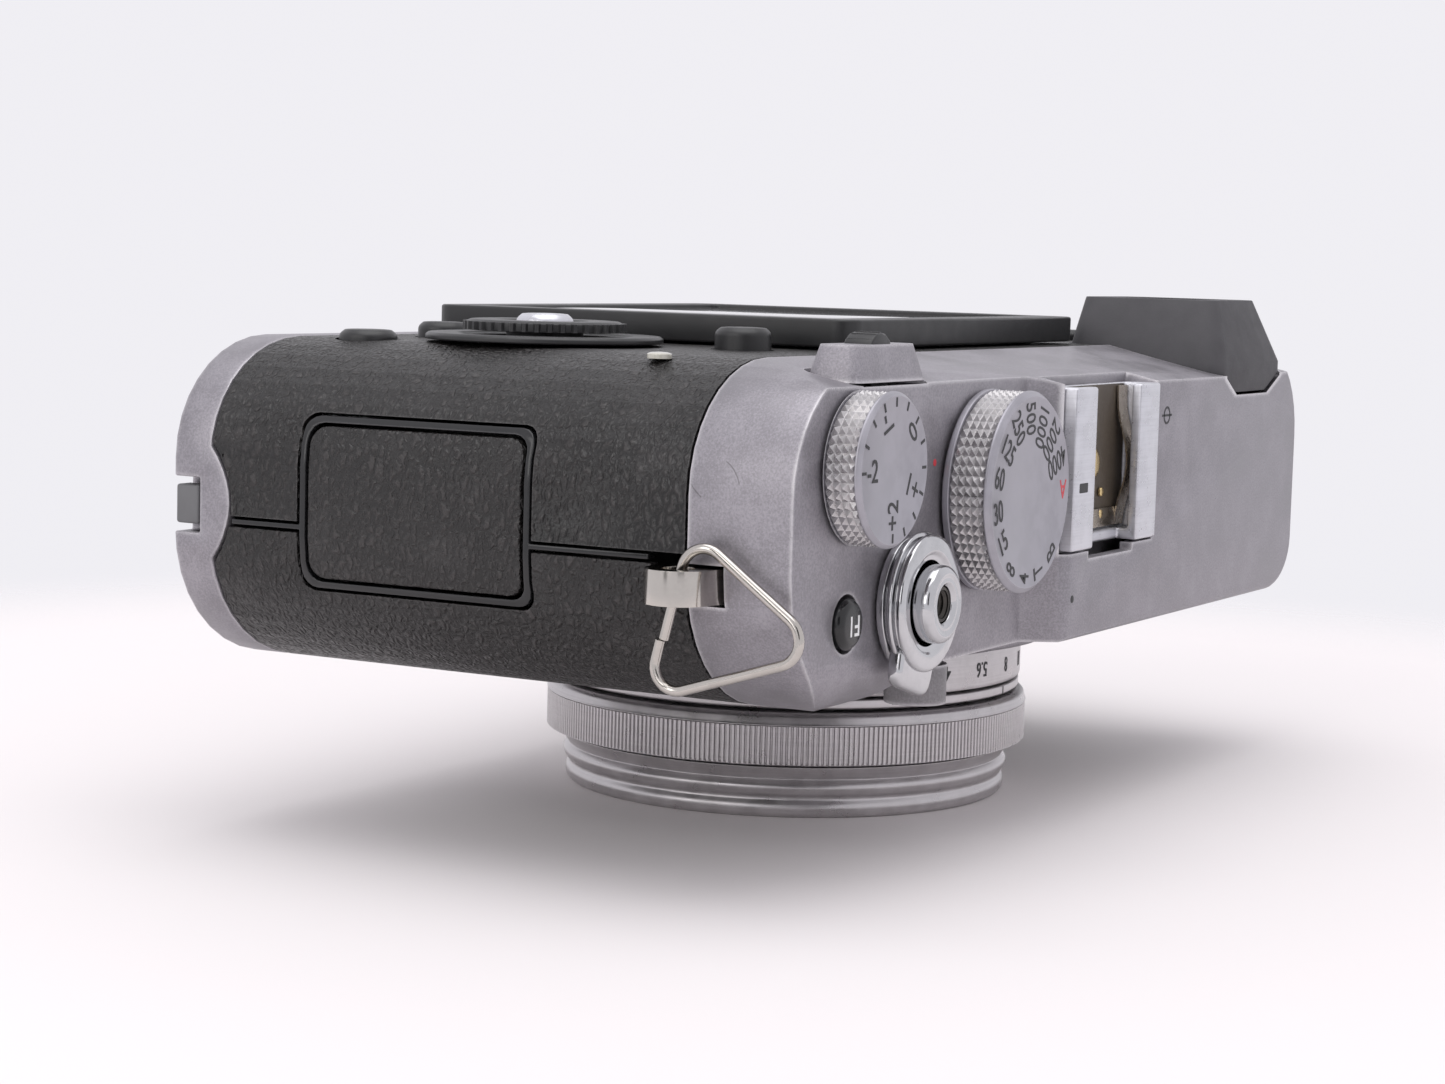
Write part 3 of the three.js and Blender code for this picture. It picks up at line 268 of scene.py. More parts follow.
END_X = span("front_cover")[1].x
SCRATCHES = [
    (Vector((END_X, LENS.y + 26.2, 38.2)), 3.2, Vector((END_X, LENS.y + 28.6, 40.2)), 1.5),
    (Vector((END_X, LENS.y + 30.4, 44.0)), 8.0, Vector((END_X, LENS.y + 24.9, 38.2)), 0.9),
]
COVER_PAINT = satin_paint("satin_cover_paint", scratched=True)
# a darker copy of the cover paint, for the finder lever; only its tone differs
DARKER_PAINT = satin_paint("darker_silver_paint", (0.22, 0.21, 0.22))
print("paint made")


# %% Machined and polished metal
def machined(name, tone, rough=0.3, lines=0.35, axis="Z", metal=0.85):
    """Turned aluminium: fine rings run round the axis, over a soft cloudiness."""
    f = Finish(name)
    ring = {"Y": (0.2, 9, 0.2), "Z": (0.2, 0.2, 9)}[axis]
    marks = f.noise(1.6, 3, 0.6, ring)
    cloud = f.noise(2.4, 3, 0.6)
    colour = f.blend(f.fade(marks * 0.6 + cloud, 0.6, 1.0), [c * 0.92 for c in tone],
                     [min(1, c * 1.07) for c in tone])
    colour = f.blend(f.worn(0.25) * 0.6, colour, (0.85, 0.84, 0.85))
    return f.surface(
        Base_Color=colour,
        Metallic=metal,
        Roughness=f.fade(cloud, 0.3, 0.7, rough - 0.05, rough + 0.08),
        Normal=f.bump(marks, 0.006, lines),
    )


def polished(name, tone, rough=0.06, smudge=0.12):
    """Chrome or steel, with faint smears and hairlines that only show in its gloss."""
    f = Finish(name)
    smear = f.noise(3.0, 5, 0.7)
    hair = f.noise(0.5, 3, 0.8, (1, 9, 1))
    colour = f.blend(f.fade(smear, 0.35, 0.75), tone, [c * 0.9 for c in tone])
    return f.surface(
        Base_Color=colour,
        Metallic=1.0,
        Roughness=f.fade(smear + hair * 0.3, 0.45, 0.95, rough, rough + smudge),
        Normal=f.bump(smear * 0.6 + hair, 0.004, 0.25),
    )


DIAL_METAL = machined("dial_aluminium", (0.36, 0.35, 0.385), 0.36, 0.1, "Y", 0.6)
KNURL_METAL = machined("knurl_aluminium", (0.50, 0.485, 0.49), 0.3, 0.05, "Y", 0.85)
RING_METAL = machined("lens_ring_aluminium", (0.53, 0.51, 0.52), 0.32, 0.12)
SHOE_METAL = machined("shoe_rail_metal", (0.60, 0.6, 0.64), 0.3, 0.05, "Z", 0.6)
CHROME = polished("chrome", (0.56, 0.56, 0.575))
STEEL = polished("polished_steel", (0.54, 0.51, 0.475), 0.1)
SPRING_STEEL = polished("spring_steel", (0.5, 0.44, 0.36), 0.2, 0.2)
# painted shade: the thread deep in the release hole is coloured dark as the shade there
THREAD_PAINTED_SHADE = polished("thread_painted_shade", (0.07, 0.065, 0.06), 0.35, 0.1)
BRASS = polished("brass_contact", (0.72, 0.55, 0.28), 0.2, 0.15)


# %% [markdown]
# ## Leather, plastics and glass
# The leatherette has rounded pebbles with creases between them. Cells give the pebbles, a warped
# place gives them their uneven shape, and a fine noise roughens their tops. The creases are painted
# darker than the pebble tops, as painted shade. The stretch follows the long way of the grain.
# Plastics differ mostly in gloss, so their bump is small.


# %% Leather, plastics and glass
def leather(name, grain=0.85, stretch=(1, 1, 0.6), depth=0.34, gloss=0.3):
    f = Finish(name)
    warp = f.add("ShaderNodeTexNoise", {}, {"Vector": f.place(), "Scale": 0.9, "Detail": 2.0},
                 "Color")
    here = f.vector("ADD", f.place(stretch), f.vector("MULTIPLY", warp, (1.3, 1.3, 1.3)))
    crease = f.cells(grain, "DISTANCE_TO_EDGE", vector=here)
    pebble = f.fade(crease, 0.0, 0.42)
    wrinkle = f.noise(0.4, 3, 0.6)
    # painted shade: the creases are painted darker than the pebble tops
    colour = f.blend(pebble, (0.007, 0.006, 0.006), (0.03, 0.0265, 0.026))
    colour = f.blend(f.fade(f.noise(7, 3), 0.5, 0.8) * 0.35, colour, (0.05, 0.046, 0.046))
    colour = f.blend(f.worn(0.35) * 0.25, colour, (0.2, 0.19, 0.19))
    return f.surface(
        Base_Color=colour,
        Roughness=f.fade(wrinkle, 0.3, 0.7, gloss, gloss + 0.2),
        Normal=f.bump(pebble + wrinkle * 0.25, depth, 0.85),
    )


def plastic(name, tone, rough=0.4, grain=0.12, depth=0.01, wear=0.0):
    f = Finish(name)
    texture = f.noise(grain, 3, 0.6)
    colour = f.blend(f.noise(3.0, 3), [c * 0.85 for c in tone], [min(1, c * 1.2) for c in tone])
    if wear:
        colour = f.blend(f.worn(0.3) * wear, colour, (0.4, 0.39, 0.4))
    return f.surface(
        Base_Color=colour,
        Roughness=f.fade(texture + f.noise(2, 2), 0.6, 1.4, rough - 0.05, rough + 0.08),
        Normal=f.bump(texture, depth, 0.6),
    )


def glass(name, tone, rough=0.03):
    """A dark coated glass: its colour shifts softly and its gloss is nearly perfect."""
    f = Finish(name)
    tint = f.blend(f.noise(6, 2), tone, [c * 0.5 for c in tone])
    smear = f.noise(2.2, 4, 0.7)
    return f.surface(Base_Color=tint, Roughness=f.fade(smear, 0.5, 0.9, rough, rough + 0.06),
                     Coat_Weight=1.0, Coat_Roughness=0.02)


def ink(name, tone):
    """Paint in an engraved mark, slightly uneven where it has been touched."""
    f = Finish(name)
    rubbed = f.noise(0.25, 3, 0.7)
    return f.surface(Base_Color=f.blend(f.fade(rubbed, 0.45, 0.8), tone,
                                        [min(1, c + 0.05) for c in tone]),
                     Roughness=f.fade(rubbed, 0.3, 0.7, 0.45, 0.6))


LEATHER = leather("pebbled_leatherette")
DOOR_LEATHER = leather("door_leatherette", 0.7, (1, 0.85, 0.45), 0.24, 0.26)
GLOSS_BLACK = plastic("gloss_black_plastic", (0.012, 0.012, 0.013), 0.16, 0.5, 0.003, 0.25)
SATIN_BLACK = plastic("satin_black_plastic", (0.018, 0.018, 0.019), 0.38, 0.14, 0.012, 0.1)
SOFT_GREY = plastic("soft_grey_plastic", (0.055, 0.053, 0.058), 0.62, 0.18, 0.02)
TAB_GREY = plastic("grey_rubber", (0.13, 0.13, 0.135), 0.6, 0.2, 0.02)
SHOE_BROWN = plastic("shoe_floor_paint", (0.075, 0.06, 0.045), 0.45, 0.3, 0.02)
BOARD_GREEN = plastic("circuit_board", (0.02, 0.09, 0.05), 0.4)
LENS_GLASS = glass("coated_glass", (0.012, 0.02, 0.032))
SCREEN_GLASS = glass("screen_glass", (0.006, 0.007, 0.009))
LAMP_GLASS = glass("lamp_lens", (0.62, 0.6, 0.52), 0.1)
BLACK_INK = ink("black_ink", (0.012, 0.012, 0.014))
RED_INK = ink("red_ink", (0.55, 0.045, 0.06))
WHITE_INK = ink("white_ink", (0.8, 0.8, 0.8))
print(len(bpy.data.materials), "finishes made")

# %% [markdown]
# ## Modelling toolkit
# Most pieces of a camera are turned on a lathe or milled from a plate. One vertex is drawn out
# through the points of a profile and spun for the first kind. For the second kind the outline is
# filled and pulled up. Corners are eased in the profile, where it costs nothing, and long edges
# get a Bevel modifier. Each helper starts by deselecting everything.


# %% Modelling toolkit
def clear():
    if bpy.context.mode != "OBJECT":
        bpy.ops.object.mode_set(mode="OBJECT")
    bpy.ops.object.select_all(action="DESELECT")


def choose(*pieces):
    clear()
    for piece in pieces:
        piece.select_set(True)
    bpy.context.view_layer.objects.active = pieces[0]


def work_on(piece, kind="VERT"):
    """Opens a piece in edit mode with all of it selected."""
    choose(piece)
    bpy.ops.object.mode_set(mode="EDIT")
    bpy.ops.mesh.select_mode(type=kind)
    bpy.ops.mesh.select_all(action="SELECT")


def pick(piece, kind, test):
    """Opens a piece in edit mode with the vertices, edges or faces that pass a test selected."""
    work_on(piece, kind)
    bpy.ops.mesh.select_all(action="DESELECT")
    bpy.ops.object.mode_set(mode="OBJECT")
    group = {"VERT": "vertices", "EDGE": "edges", "FACE": "polygons"}[kind]
    for element in getattr(piece.data, group):
        element.select = test(element)
    bpy.ops.object.mode_set(mode="EDIT")


def eased(points, steps=4):
    """A profile whose corners with a third number are rounded by that radius."""
    made = []
    closed = points[0][:2] == points[-1][:2]
    for i, point in enumerate(points):
        here = Vector(point[:2])
        radius = point[2] if len(point) > 2 else 0
        before, after = i - 1, i + 1
        if closed and i in (0, len(points) - 1):
            before, after = len(points) - 2, 1
        if not radius or before < 0 or after >= len(points):
            made.append(here)
            continue
        a, b = Vector(points[before][:2]) - here, Vector(points[after][:2]) - here
        reach = min(radius, a.length * 0.49, b.length * 0.49)
        start, end = here + a.normalized() * reach, here + b.normalized() * reach
        for k in range(steps + 1):
            t = k / steps
            made.append(start.lerp(here, t).lerp(here.lerp(end, t), t))
    return made


def chain(points):
    """One vertex drawn out into a line through the points."""
    clear()
    bpy.ops.mesh.primitive_plane_add(size=1)
    bpy.ops.object.mode_set(mode="EDIT")
    bpy.ops.mesh.merge(type="CENTER")
    bpy.ops.transform.translate(value=points[0])
    for here, after in zip(points, points[1:]):
        bpy.ops.mesh.extrude_vertices_move(TRANSFORM_OT_translate={"value": after - here})
    return bpy.context.object


def close_up(piece):
    """Merges doubles and turns every face outwards."""
    work_on(piece)
    bpy.ops.mesh.remove_doubles(threshold=0.0005)
    bpy.ops.mesh.normals_make_consistent(inside=False)
    bpy.ops.object.mode_set(mode="OBJECT")
    return piece


def turned(profile, steps=96):
    """A lathe piece round Z; the profile lists radius, height and perhaps a corner radius."""
    piece = chain([Vector((p[0], 0, p[1])) for p in eased(profile)])
    bpy.ops.mesh.select_all(action="SELECT")
    bpy.ops.mesh.spin(steps=steps, angle=2 * pi, center=(0, 0, 0), axis=(0, 0, 1))
    return close_up(piece)


def slab(outline, low, high):
    """A plate of any outline, from one height to another."""
    points = eased([*outline, outline[0]])
    if (points[0] - points[-1]).length < 0.001:
        points = points[:-1]
    piece = chain([Vector((p[0], p[1], low)) for p in points])
    bpy.ops.mesh.select_all(action="SELECT")
    bpy.ops.mesh.edge_face_add()
    bpy.ops.mesh.extrude_region_move(TRANSFORM_OT_translate={"value": (0, 0, high - low)})
    return close_up(piece)


def block(x, y, low, high, corner=0.0):
    """A plate with a rectangular outline."""
    outline = [(x[0], y[0], corner), (x[1], y[0], corner), (x[1], y[1], corner),
               (x[0], y[1], corner)]
    return slab(outline, low, high)


def modify(piece, kind, **settings):
    choose(piece)
    bpy.ops.object.modifier_add(type=kind)
    modifier = piece.modifiers[-1]
    for name, setting in settings.items():
        setattr(modifier, name, setting)
    bpy.ops.object.modifier_apply(modifier=modifier.name)
    return piece


def soften(piece, width, segments=3, angle=40):
    return modify(piece, "BEVEL", width=width, segments=segments, limit_method="ANGLE",
                  angle_limit=radians(angle), use_clamp_overlap=True, miter_outer="MITER_ARC")


def fused(piece, *others):
    for other in others:
        modify(piece, "BOOLEAN", operation="UNION", solver="EXACT", object=other)
        bpy.data.objects.remove(other)
    return piece


def joined(*pieces):
    choose(*pieces)
    bpy.ops.object.join()
    return bpy.context.object


def repeated(piece, count, turn=2 * pi):
    """Copies of a piece round the Z axis, in one mesh."""
    work_on(piece)
    share = turn / count if turn >= 2 * pi else turn / (count - 1)
    bpy.ops.mesh.spin(steps=count - 1, dupli=True, angle=share * (count - 1), center=(0, 0, 0),
                      axis=(0, 0, 1))
    bpy.ops.object.mode_set(mode="OBJECT")
    return close_up(piece)


def copy_of(node):
    """A CAD node's shape as a clean mesh in millimetres."""
    clear()
    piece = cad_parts[node].copy()
    piece.data = piece.data.copy()
    bpy.context.scene.collection.objects.link(piece)
    piece.parent = None
    for key in list(piece.keys()):
        del piece[key]
    piece.data.materials.clear()
    choose(piece)
    piece.scale = (1 / MM,) * 3
    bpy.ops.object.transform_apply(location=True, rotation=True, scale=True)
    work_on(piece)
    bpy.ops.mesh.remove_doubles(threshold=0.002)
    bpy.ops.mesh.dissolve_limited(angle_limit=radians(0.5))
    bpy.ops.object.mode_set(mode="OBJECT")
    return piece


ON_DECK = (-pi / 2, 0, 0)  # the piece's own Z points along +Y
ON_SIDE = (0, pi / 2, 0)  # the piece's own Z points along +X
FLAT = (0, 0, 0)
triangles = {}


def put(piece, name, body, material, at=(0, 0, 0), turn=FLAT, stands_for=(), smooth=32):
    """Shrinks a piece into its place, gives it its finish and hands it to its body."""
    choose(piece)
    piece.location = Vector(at) * MM
    piece.rotation_euler = turn
    piece.scale = (MM,) * 3
    bpy.ops.object.transform_apply(location=True, rotation=True, scale=True)
    bpy.ops.object.shade_smooth_by_angle(angle=radians(smooth))
    piece.name = piece.data.name = name
    piece.data.materials.clear()
    piece.data.materials.append(material)
    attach(piece, body)
    if stands_for:
        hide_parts(*stands_for)
    triangles[name] = sum(len(face.vertices) - 2 for face in piece.data.polygons)
    return piece


def lettering(text, height, squeeze=1.0, proud=0.03, align="LEFT"):
    """Raised letters in the XY plane, starting at the origin."""
    clear()
    bpy.ops.object.text_add()
    letters = bpy.context.object
    letters.data.body = text
    letters.data.size = height / 0.7
    letters.data.align_x = align
    letters.data.align_y = "CENTER"
    letters.data.extrude = proud / 2
    letters.data.offset = 0.02
    letters.data.resolution_u = 3
    bpy.ops.object.convert(target="MESH")
    letters.scale = (squeeze, 1, 1)
    bpy.ops.object.transform_apply(location=True, rotation=True, scale=True)
    return letters


def moved(piece, at=(0, 0, 0), turn=(0, 0, 0)):
    """Turns a piece, then moves it, still in millimetres."""
    choose(piece)
    piece.rotation_euler = turn
    piece.location = at
    bpy.ops.object.transform_apply(location=True, rotation=True, scale=True)
    return piece


print("toolkit ready")

# %% [markdown]
# ## Stage and light
# The floor is pale and plain, and it fades away a hand's width behind the camera, so that the
# even backdrop begins low. Most of the light comes from that backdrop, as in a light tent, and
# two weak boxes give the shapes a bright side. Dark cards stand out of sight: they only show in
# reflections, so that polished metal has something dark to mirror.

# %% Stage and light
FLOOR_FADE = (150, 230)  # where the floor begins to fade and where it is gone
clear()
bpy.ops.mesh.primitive_plane_add(size=2)
floor = bpy.context.object
floor.name = "floor"
tent = Finish("pale_floor")
tent.surface(Base_Color=tent.blend(tent.noise(400, 2), (0.80, 0.765, 0.765), (0.84, 0.80, 0.80)),
             Roughness=0.8)
paper = tent.tree.nodes["Principled BSDF"]
reach = tent.vector("LENGTH", tent.place(), output="Value")
shown = tent.add("ShaderNodeMixShader", {}, {
    0: tent.fade(reach, *FLOOR_FADE),
    1: Wire(tent, paper.outputs[0]),
    2: tent.add("ShaderNodeBsdfTransparent", {}, {}),
})
tent.plug(tent.tree.nodes["Material Output"].inputs["Surface"], shown)
floor.data.materials.append(tent.material)
floor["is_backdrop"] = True

bpy.context.scene.view_settings.view_transform = "Standard"
world = bpy.data.worlds.new("studio")
bpy.context.scene.world = world
world.use_nodes = True
world.node_tree.nodes["Background"].inputs["Color"].default_value = (0.87, 0.86, 0.9, 1)
world.node_tree.nodes["Background"].inputs["Strength"].default_value = 1.0


def softbox(name, at, size, power, colour=(1, 1, 1)):
    """A square area light that shines towards the camera body."""
    bpy.ops.object.light_add(type="AREA", location=at)
    light = bpy.context.object
    light.name = name
    light.data.size = size
    light.data.energy = power
    light.data.color = colour
    light.rotation_euler = (Vector(at) - Vector((0, 0, 0.03))).to_track_quat("Z", "Y").to_euler()


softbox("overhead", (0.05, 0.05, 0.75), 0.7, 2.5)
softbox("grip_side", (0.9, -0.2, 0.4), 0.6, 2.0, (1, 0.98, 0.96))


def dark_card(name, azimuth, size):
    """A black board that only shows in reflections."""
    clear()
    away = direction(azimuth, 12) * 0.9
    bpy.ops.mesh.primitive_plane_add(size=1, location=away + Vector((0, 0, 0.1)))
    card = bpy.context.object
    card.scale = size
    card.rotation_euler = away.to_track_quat("Z", "Y").to_euler()
    card.name = name
    board = Finish(name)
    card.data.materials.append(board.surface(Base_Color=(0.01, 0.01, 0.01), Roughness=0.9))
    card.visible_camera = card.visible_diffuse = card.visible_shadow = False
    card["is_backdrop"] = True


dark_card("card_behind_viewer", 128, (0.35, 0.5, 1))
dark_card("card_by_bottom", 78, (0.18, 0.6, 1))
print("stage set")

# %% [markdown]
# ## Covers and leather
# The shells already have their exact outlines and openings in CAD, so each is a cleaned copy with
# its sharp edges eased by a small bevel, which also catches the light as a real edge does. A
# window, a screen or a board in the body is finished the same way: a copy, a bevel, a material.

# %% Covers and leather
BODY = "camera_body"


def carried(node, name, material, body=BODY, ease=0.15, segments=2, smooth=32):
    """A CAD node's own shape with eased edges."""
    piece = copy_of(node)
    if ease:
        soften(piece, ease, segments)
    return put(piece, name, body, material, stands_for=[node], smooth=smooth)


carried("top_cover", "top_plate", COVER_PAINT, ease=0.14)
carried("bottom_cover", "bottom_plate", COVER_PAINT, ease=0.2)
carried("front_cover", "front_leather", LEATHER, ease=0.1)
carried("rear_cover", "rear_leather", LEATHER, ease=0.1)
carried("terminal_rim", "terminal_trim", GLOSS_BLACK, ease=0.2, segments=3)
carried("terminal_door", "terminal_flap", DOOR_LEATHER, "terminal_door", 0.15, 3)
carried("coupler_tab", "coupler_plug", TAB_GREY, ease=0.3, segments=3)
carried("lcd_frame", "screen_surround", SATIN_BLACK, ease=0.6, segments=4)
carried("lcd_window", "screen_cover_glass", SCREEN_GLASS, ease=0.1)
carried("battery_door", "battery_flap", COVER_PAINT, "battery_door", 0.15)
carried("eyepiece_frame", "eyecup", SOFT_GREY, ease=0.5, segments=4)
carried("eyepiece_lens", "eyepiece_glass", LENS_GLASS, ease=0.2)
carried("finder_window", "finder_front_glass", LENS_GLASS, ease=0.2)
carried("flash_window", "flash_lens", LAMP_GLASS, ease=0.2)
print("covers:", triangles["top_plate"], "triangles in the top plate")

# %% Pieces inside the body
INSIDE = {
    "terminal_sockets": ("terminal_board", STEEL, "steel"),
    "chassis": ("chassis_plate", STEEL, "steel"),
    "image_sensor": ("sensor_glass", LENS_GLASS, "glass"),
    "main_board": ("circuit_main_board", BOARD_GREEN, "circuit"),
    "battery": ("battery_pack", SATIN_BLACK, "black_plastic"),
    "memory_card": ("card", SATIN_BLACK, "black_plastic"),
    "finder_block": ("finder_housing", SATIN_BLACK, "black_plastic"),
    "flash_capacitor": ("capacitor", GLOSS_BLACK, "black_plastic"),
    "leaf_shutter": ("shutter_blades_housing", SATIN_BLACK, "black_plastic"),
    "lcd_panel": ("screen_panel", SCREEN_GLASS, "black_plastic"),
    "rear_element": ("rear_lens_glass", LENS_GLASS, "glass"),
}
for node, (name, material, slot) in INSIDE.items():
    carried(node, name, material, ease=0.12)
print(len(INSIDE), "inner pieces")

# %% [markdown]
# ## Knurled dials
# Each dial is a turned core with a bright bevel and a band of straight knurling. The band is a
# coarse cylinder with one face for each tooth, and Poke Faces raises the middle of every face into
# a four-sided pyramid, as a knurling wheel does. The figures are engraved and filled with paint:
# letters a few hundredths of a millimetre proud give the same look. Both dials and the collar stand
# on the lower deck with the same small gap.


# %% Knurled dials
ABOVE_DECK = span("power_lever")[0].y
DECK = ABOVE_DECK - 0.3


def knurl_band(radius, low, high, rows, teeth, height):
    """Rows of small pyramids round a cylinder, closed above and below by the core."""
    step = (high - low) / rows
    piece = chain([Vector((radius, 0, low + step * i)) for i in range(rows + 1)])
    bpy.ops.mesh.select_all(action="SELECT")
    bpy.ops.mesh.spin(steps=teeth, angle=2 * pi, center=(0, 0, 0), axis=(0, 0, 1))
    bpy.ops.mesh.remove_doubles(threshold=0.0005)
    bpy.ops.mesh.select_all(action="SELECT")
    bpy.ops.mesh.normals_make_consistent(inside=False)
    bpy.ops.mesh.poke(offset=height)
    bpy.ops.mesh.select_all(action="DESELECT")
    bpy.ops.mesh.select_non_manifold(extend=False)
    bpy.ops.mesh.edge_face_add()
    bpy.ops.object.mode_set(mode="OBJECT")
    return close_up(piece)


def dial(node, name, base, bevel, rows, teeth):
    """A dial's core and knurl, with the stem that goes down through the deck."""
    low, high = span(node)
    radius = (high.x - low.x) / 2
    top = high.y
    skirt = ABOVE_DECK
    centre = Vector(((low.x + high.x) / 2, 0, (low.z + high.z) / 2))
    pit = radius - 0.42
    core = turned([
        (0, low.y), (2.6, low.y), (2.6, skirt), (radius - 0.25, skirt, 0.1),
        (radius, skirt + 0.2, 0.1), (radius, skirt + base, 0.1), (pit - 0.1, skirt + base),
        (pit - 0.1, top - bevel - 0.2), (radius, top - bevel - 0.2, 0.08),
        (radius, top - bevel, 0.12), (radius - bevel, top, 0.15),
        (radius - bevel - 0.1, top - 0.05), (0, top - 0.05)], 128)
    put(core, name + "_core", node, DIAL_METAL, centre, ON_DECK, [node])
    band = knurl_band(pit, skirt + base, top - bevel - 0.2, rows, teeth, 0.4)
    put(band, name + "_knurl", node, KNURL_METAL, centre, ON_DECK, smooth=10)
    return centre, top


exposure_centre, exposure_top = dial("exposure_dial", "exposure_dial", 0.15, 0.4, 4, 48)
speed_centre, speed_top = dial("shutter_speed_dial", "speed_dial", 0.8, 0.55, 5, 60)


# %% Figures on the dials
def radial_labels(texts, start, height, squeeze, first_deg, step_deg):
    """Labels that read from the rim inwards, one at each stop of a dial."""
    made = []
    for i, text in enumerate(texts):
        if text:
            letters = moved(lettering(text, height, squeeze), (-start, 0, 0))
            made.append(moved(letters, turn=(0, 0, radians(first_deg + step_deg * i - 180))))
    return joined(*made)


def ticks(count, inner, outer, width, first_deg, step_deg):
    made = []
    for i in range(count):
        tick = block((inner, outer), (-width / 2, width / 2), -0.015, 0.015)
        made.append(moved(tick, turn=(0, 0, radians(first_deg + step_deg * i))))
    return joined(*made)


def on_top(centre, top):
    return Vector((centre.x, top - 0.035, centre.z))


SPEEDS = ["4000", "2000", "1000", "500", "250", "125", "60", "30", "15", "8", "4", "T", "B"]
put(radial_labels(SPEEDS, 9.1, 2.2, 0.72, 204, 24), "speed_figures", "shutter_speed_dial",
    BLACK_INK, on_top(speed_centre, speed_top), ON_DECK)
put(radial_labels(["A"], 8.9, 1.9, 0.9, 180, 0), "automatic_mark", "shutter_speed_dial",
    RED_INK, on_top(speed_centre, speed_top), ON_DECK)
STOPS = ["-2", "", "", "-1", "", "", "0", "", "", "+1", "", "", "+2"]
put(radial_labels(STOPS, 5.6, 2.1, 0.9, 0, -22.5), "exposure_figures", "exposure_dial",
    BLACK_INK, on_top(exposure_centre, exposure_top), ON_DECK)
put(ticks(13, 5.8, 6.65, 0.28, 0, -22.5), "exposure_ticks", "exposure_dial",
    BLACK_INK, on_top(exposure_centre, exposure_top), ON_DECK)
print("dials:", triangles["speed_dial_knurl"], "triangles in the larger knurl")

# %% [markdown]
# ## Power collar and shutter button
# The collar is a chrome ring with two polished flanges and a dark groove between them, and a tongue
# that a fingertip pushes. The button inside it has a shallow dish and a hole for a cable release.
# The thread is a sleeve of its own, whose profile is a zigzag, painted dark as shade in the hole.

# %% Power collar and shutter button
low, high = span("shutter_button")
button_centre = Vector(((low.x + high.x) / 2, 0, (low.z + high.z) / 2))
button_r, button_top, button_low = (high.x - low.x) / 2, high.y, low.y
collar_top, collar_low = span("power_lever")[1].y, span("power_lever")[0].y
collar_r = 6.8
TONGUE_TURN = 17  # degrees away from straight down
bore = button_r + 0.35
ring = turned([
    (bore, collar_low), (6.3, collar_low, 0.1), (6.3, collar_low + 0.7, 0.12),
    (5.9, collar_low + 0.8, 0.05), (5.9, collar_low + 1.0, 0.05), (6.5, collar_low + 1.1, 0.1),
    (collar_r, collar_low + 1.4, 0.25), (collar_r, collar_low + 1.75, 0.2),
    (6.2, collar_low + 1.9, 0.1), (6.2, collar_low + 2.1, 0.05), (6.55, collar_low + 2.2, 0.1),
    (6.6, collar_top - 0.3, 0.2), (6.3, collar_top - 0.02, 0.2), (4.95, collar_top, 0.15),
    (4.6, collar_top - 0.35, 0.1), (bore, collar_top - 0.4, 0.1), (bore, collar_low)], 96)
tongue = slab([(-3.7, -5.2), (-3.5, -8.6, 2.4), (3.5, -8.6, 2.4), (3.7, -5.2)],
              collar_low + 0.85, collar_low + 2.4)
soften(tongue, 0.5, 4)
tongue = moved(tongue, turn=(0, 0, radians(180 - TONGUE_TURN)))
put(fused(ring, tongue), "power_collar", "power_lever", CHROME,
    Vector((button_centre.x, 0, button_centre.z)), ON_DECK, ["power_lever"])

THREADS, PITCH = 5, 0.5
thread = []
for i in range(THREADS):
    h = button_top - 0.8 - PITCH * i
    thread += [(1.4, h), (1.15, h - PITCH / 2)]
button = turned([
    (0, button_low), (button_r, button_low), (button_r, button_top - 0.9, 0.1),
    (button_r - 0.1, button_top - 0.35, 0.3), (button_r - 0.7, button_top, 0.25),
    (2.6, button_top - 0.18, 0.3), (2.15, button_top - 0.12, 0.15), (1.75, button_top - 0.5, 0.1),
    (1.75, button_top - 3.8), (0, button_top - 3.8)], 96)
put(button, "release_button", "shutter_button", CHROME,
    Vector((button_centre.x, 0, button_centre.z)), ON_DECK, ["shutter_button"])
sleeve = turned([(0, button_top - 3.75), (1.7, button_top - 3.75), (1.7, button_top - 0.6, 0.1),
                 (1.4, button_top - 0.65), *thread, (1.15, button_top - 3.4),
                 (0, button_top - 3.5)], 64)
# the sleeve's dark colour is painted shade inside the hole
put(sleeve, "release_thread", "shutter_button", THREAD_PAINTED_SHADE,
    Vector((button_centre.x, 0, button_centre.z)), ON_DECK)
print("collar and button made")

# %% [markdown]
# ## Strap lugs and rings
# A lug is a polished steel eye on a short root: a generous bevel turns the CAD plate into one. The
# ring is spring wire bent to a triangle. Its route is drawn as a chain of points, turned into a
# curve with a round section, and turned back into a mesh. The two cut ends meet on the lower side,
# a little out of line, and the eye of the lug holds the wire by its upper corner.


# %% Strap lugs and rings
WIRE = 0.5
PEGS = [Vector((2.7, 1.15)), Vector((10.1, -4.05)), Vector((0, -7.35))]  # from the lug's middle
BENDS = [2.4, 2.3, 2.2]
JOINT_SHARE = 0.2  # how far along the side from the last peg to the first the ends meet


def bent_round(pegs, bends, steps=10):
    """The route of a wire that is bent round pegs, without the side that closes it."""
    route = []
    for i, peg in enumerate(pegs):
        arrive = peg - pegs[i - 1]
        leave = pegs[(i + 1) % len(pegs)] - peg
        first = Vector((-arrive.y, arrive.x)).normalized()
        last = Vector((-leave.y, leave.x)).normalized()
        route += [peg + first.slerp(last, k / steps) * bends[i] for k in range(steps + 1)]
    return route


def wire(points, radius):
    """A round wire along a route."""
    piece = chain(points)
    bpy.ops.object.mode_set(mode="OBJECT")
    choose(piece)
    bpy.ops.object.convert(target="CURVE")
    piece = bpy.context.object
    piece.data.bevel_depth = radius
    piece.data.bevel_resolution = 5
    piece.data.use_fill_caps = True
    bpy.ops.object.convert(target="MESH")
    return close_up(bpy.context.object)


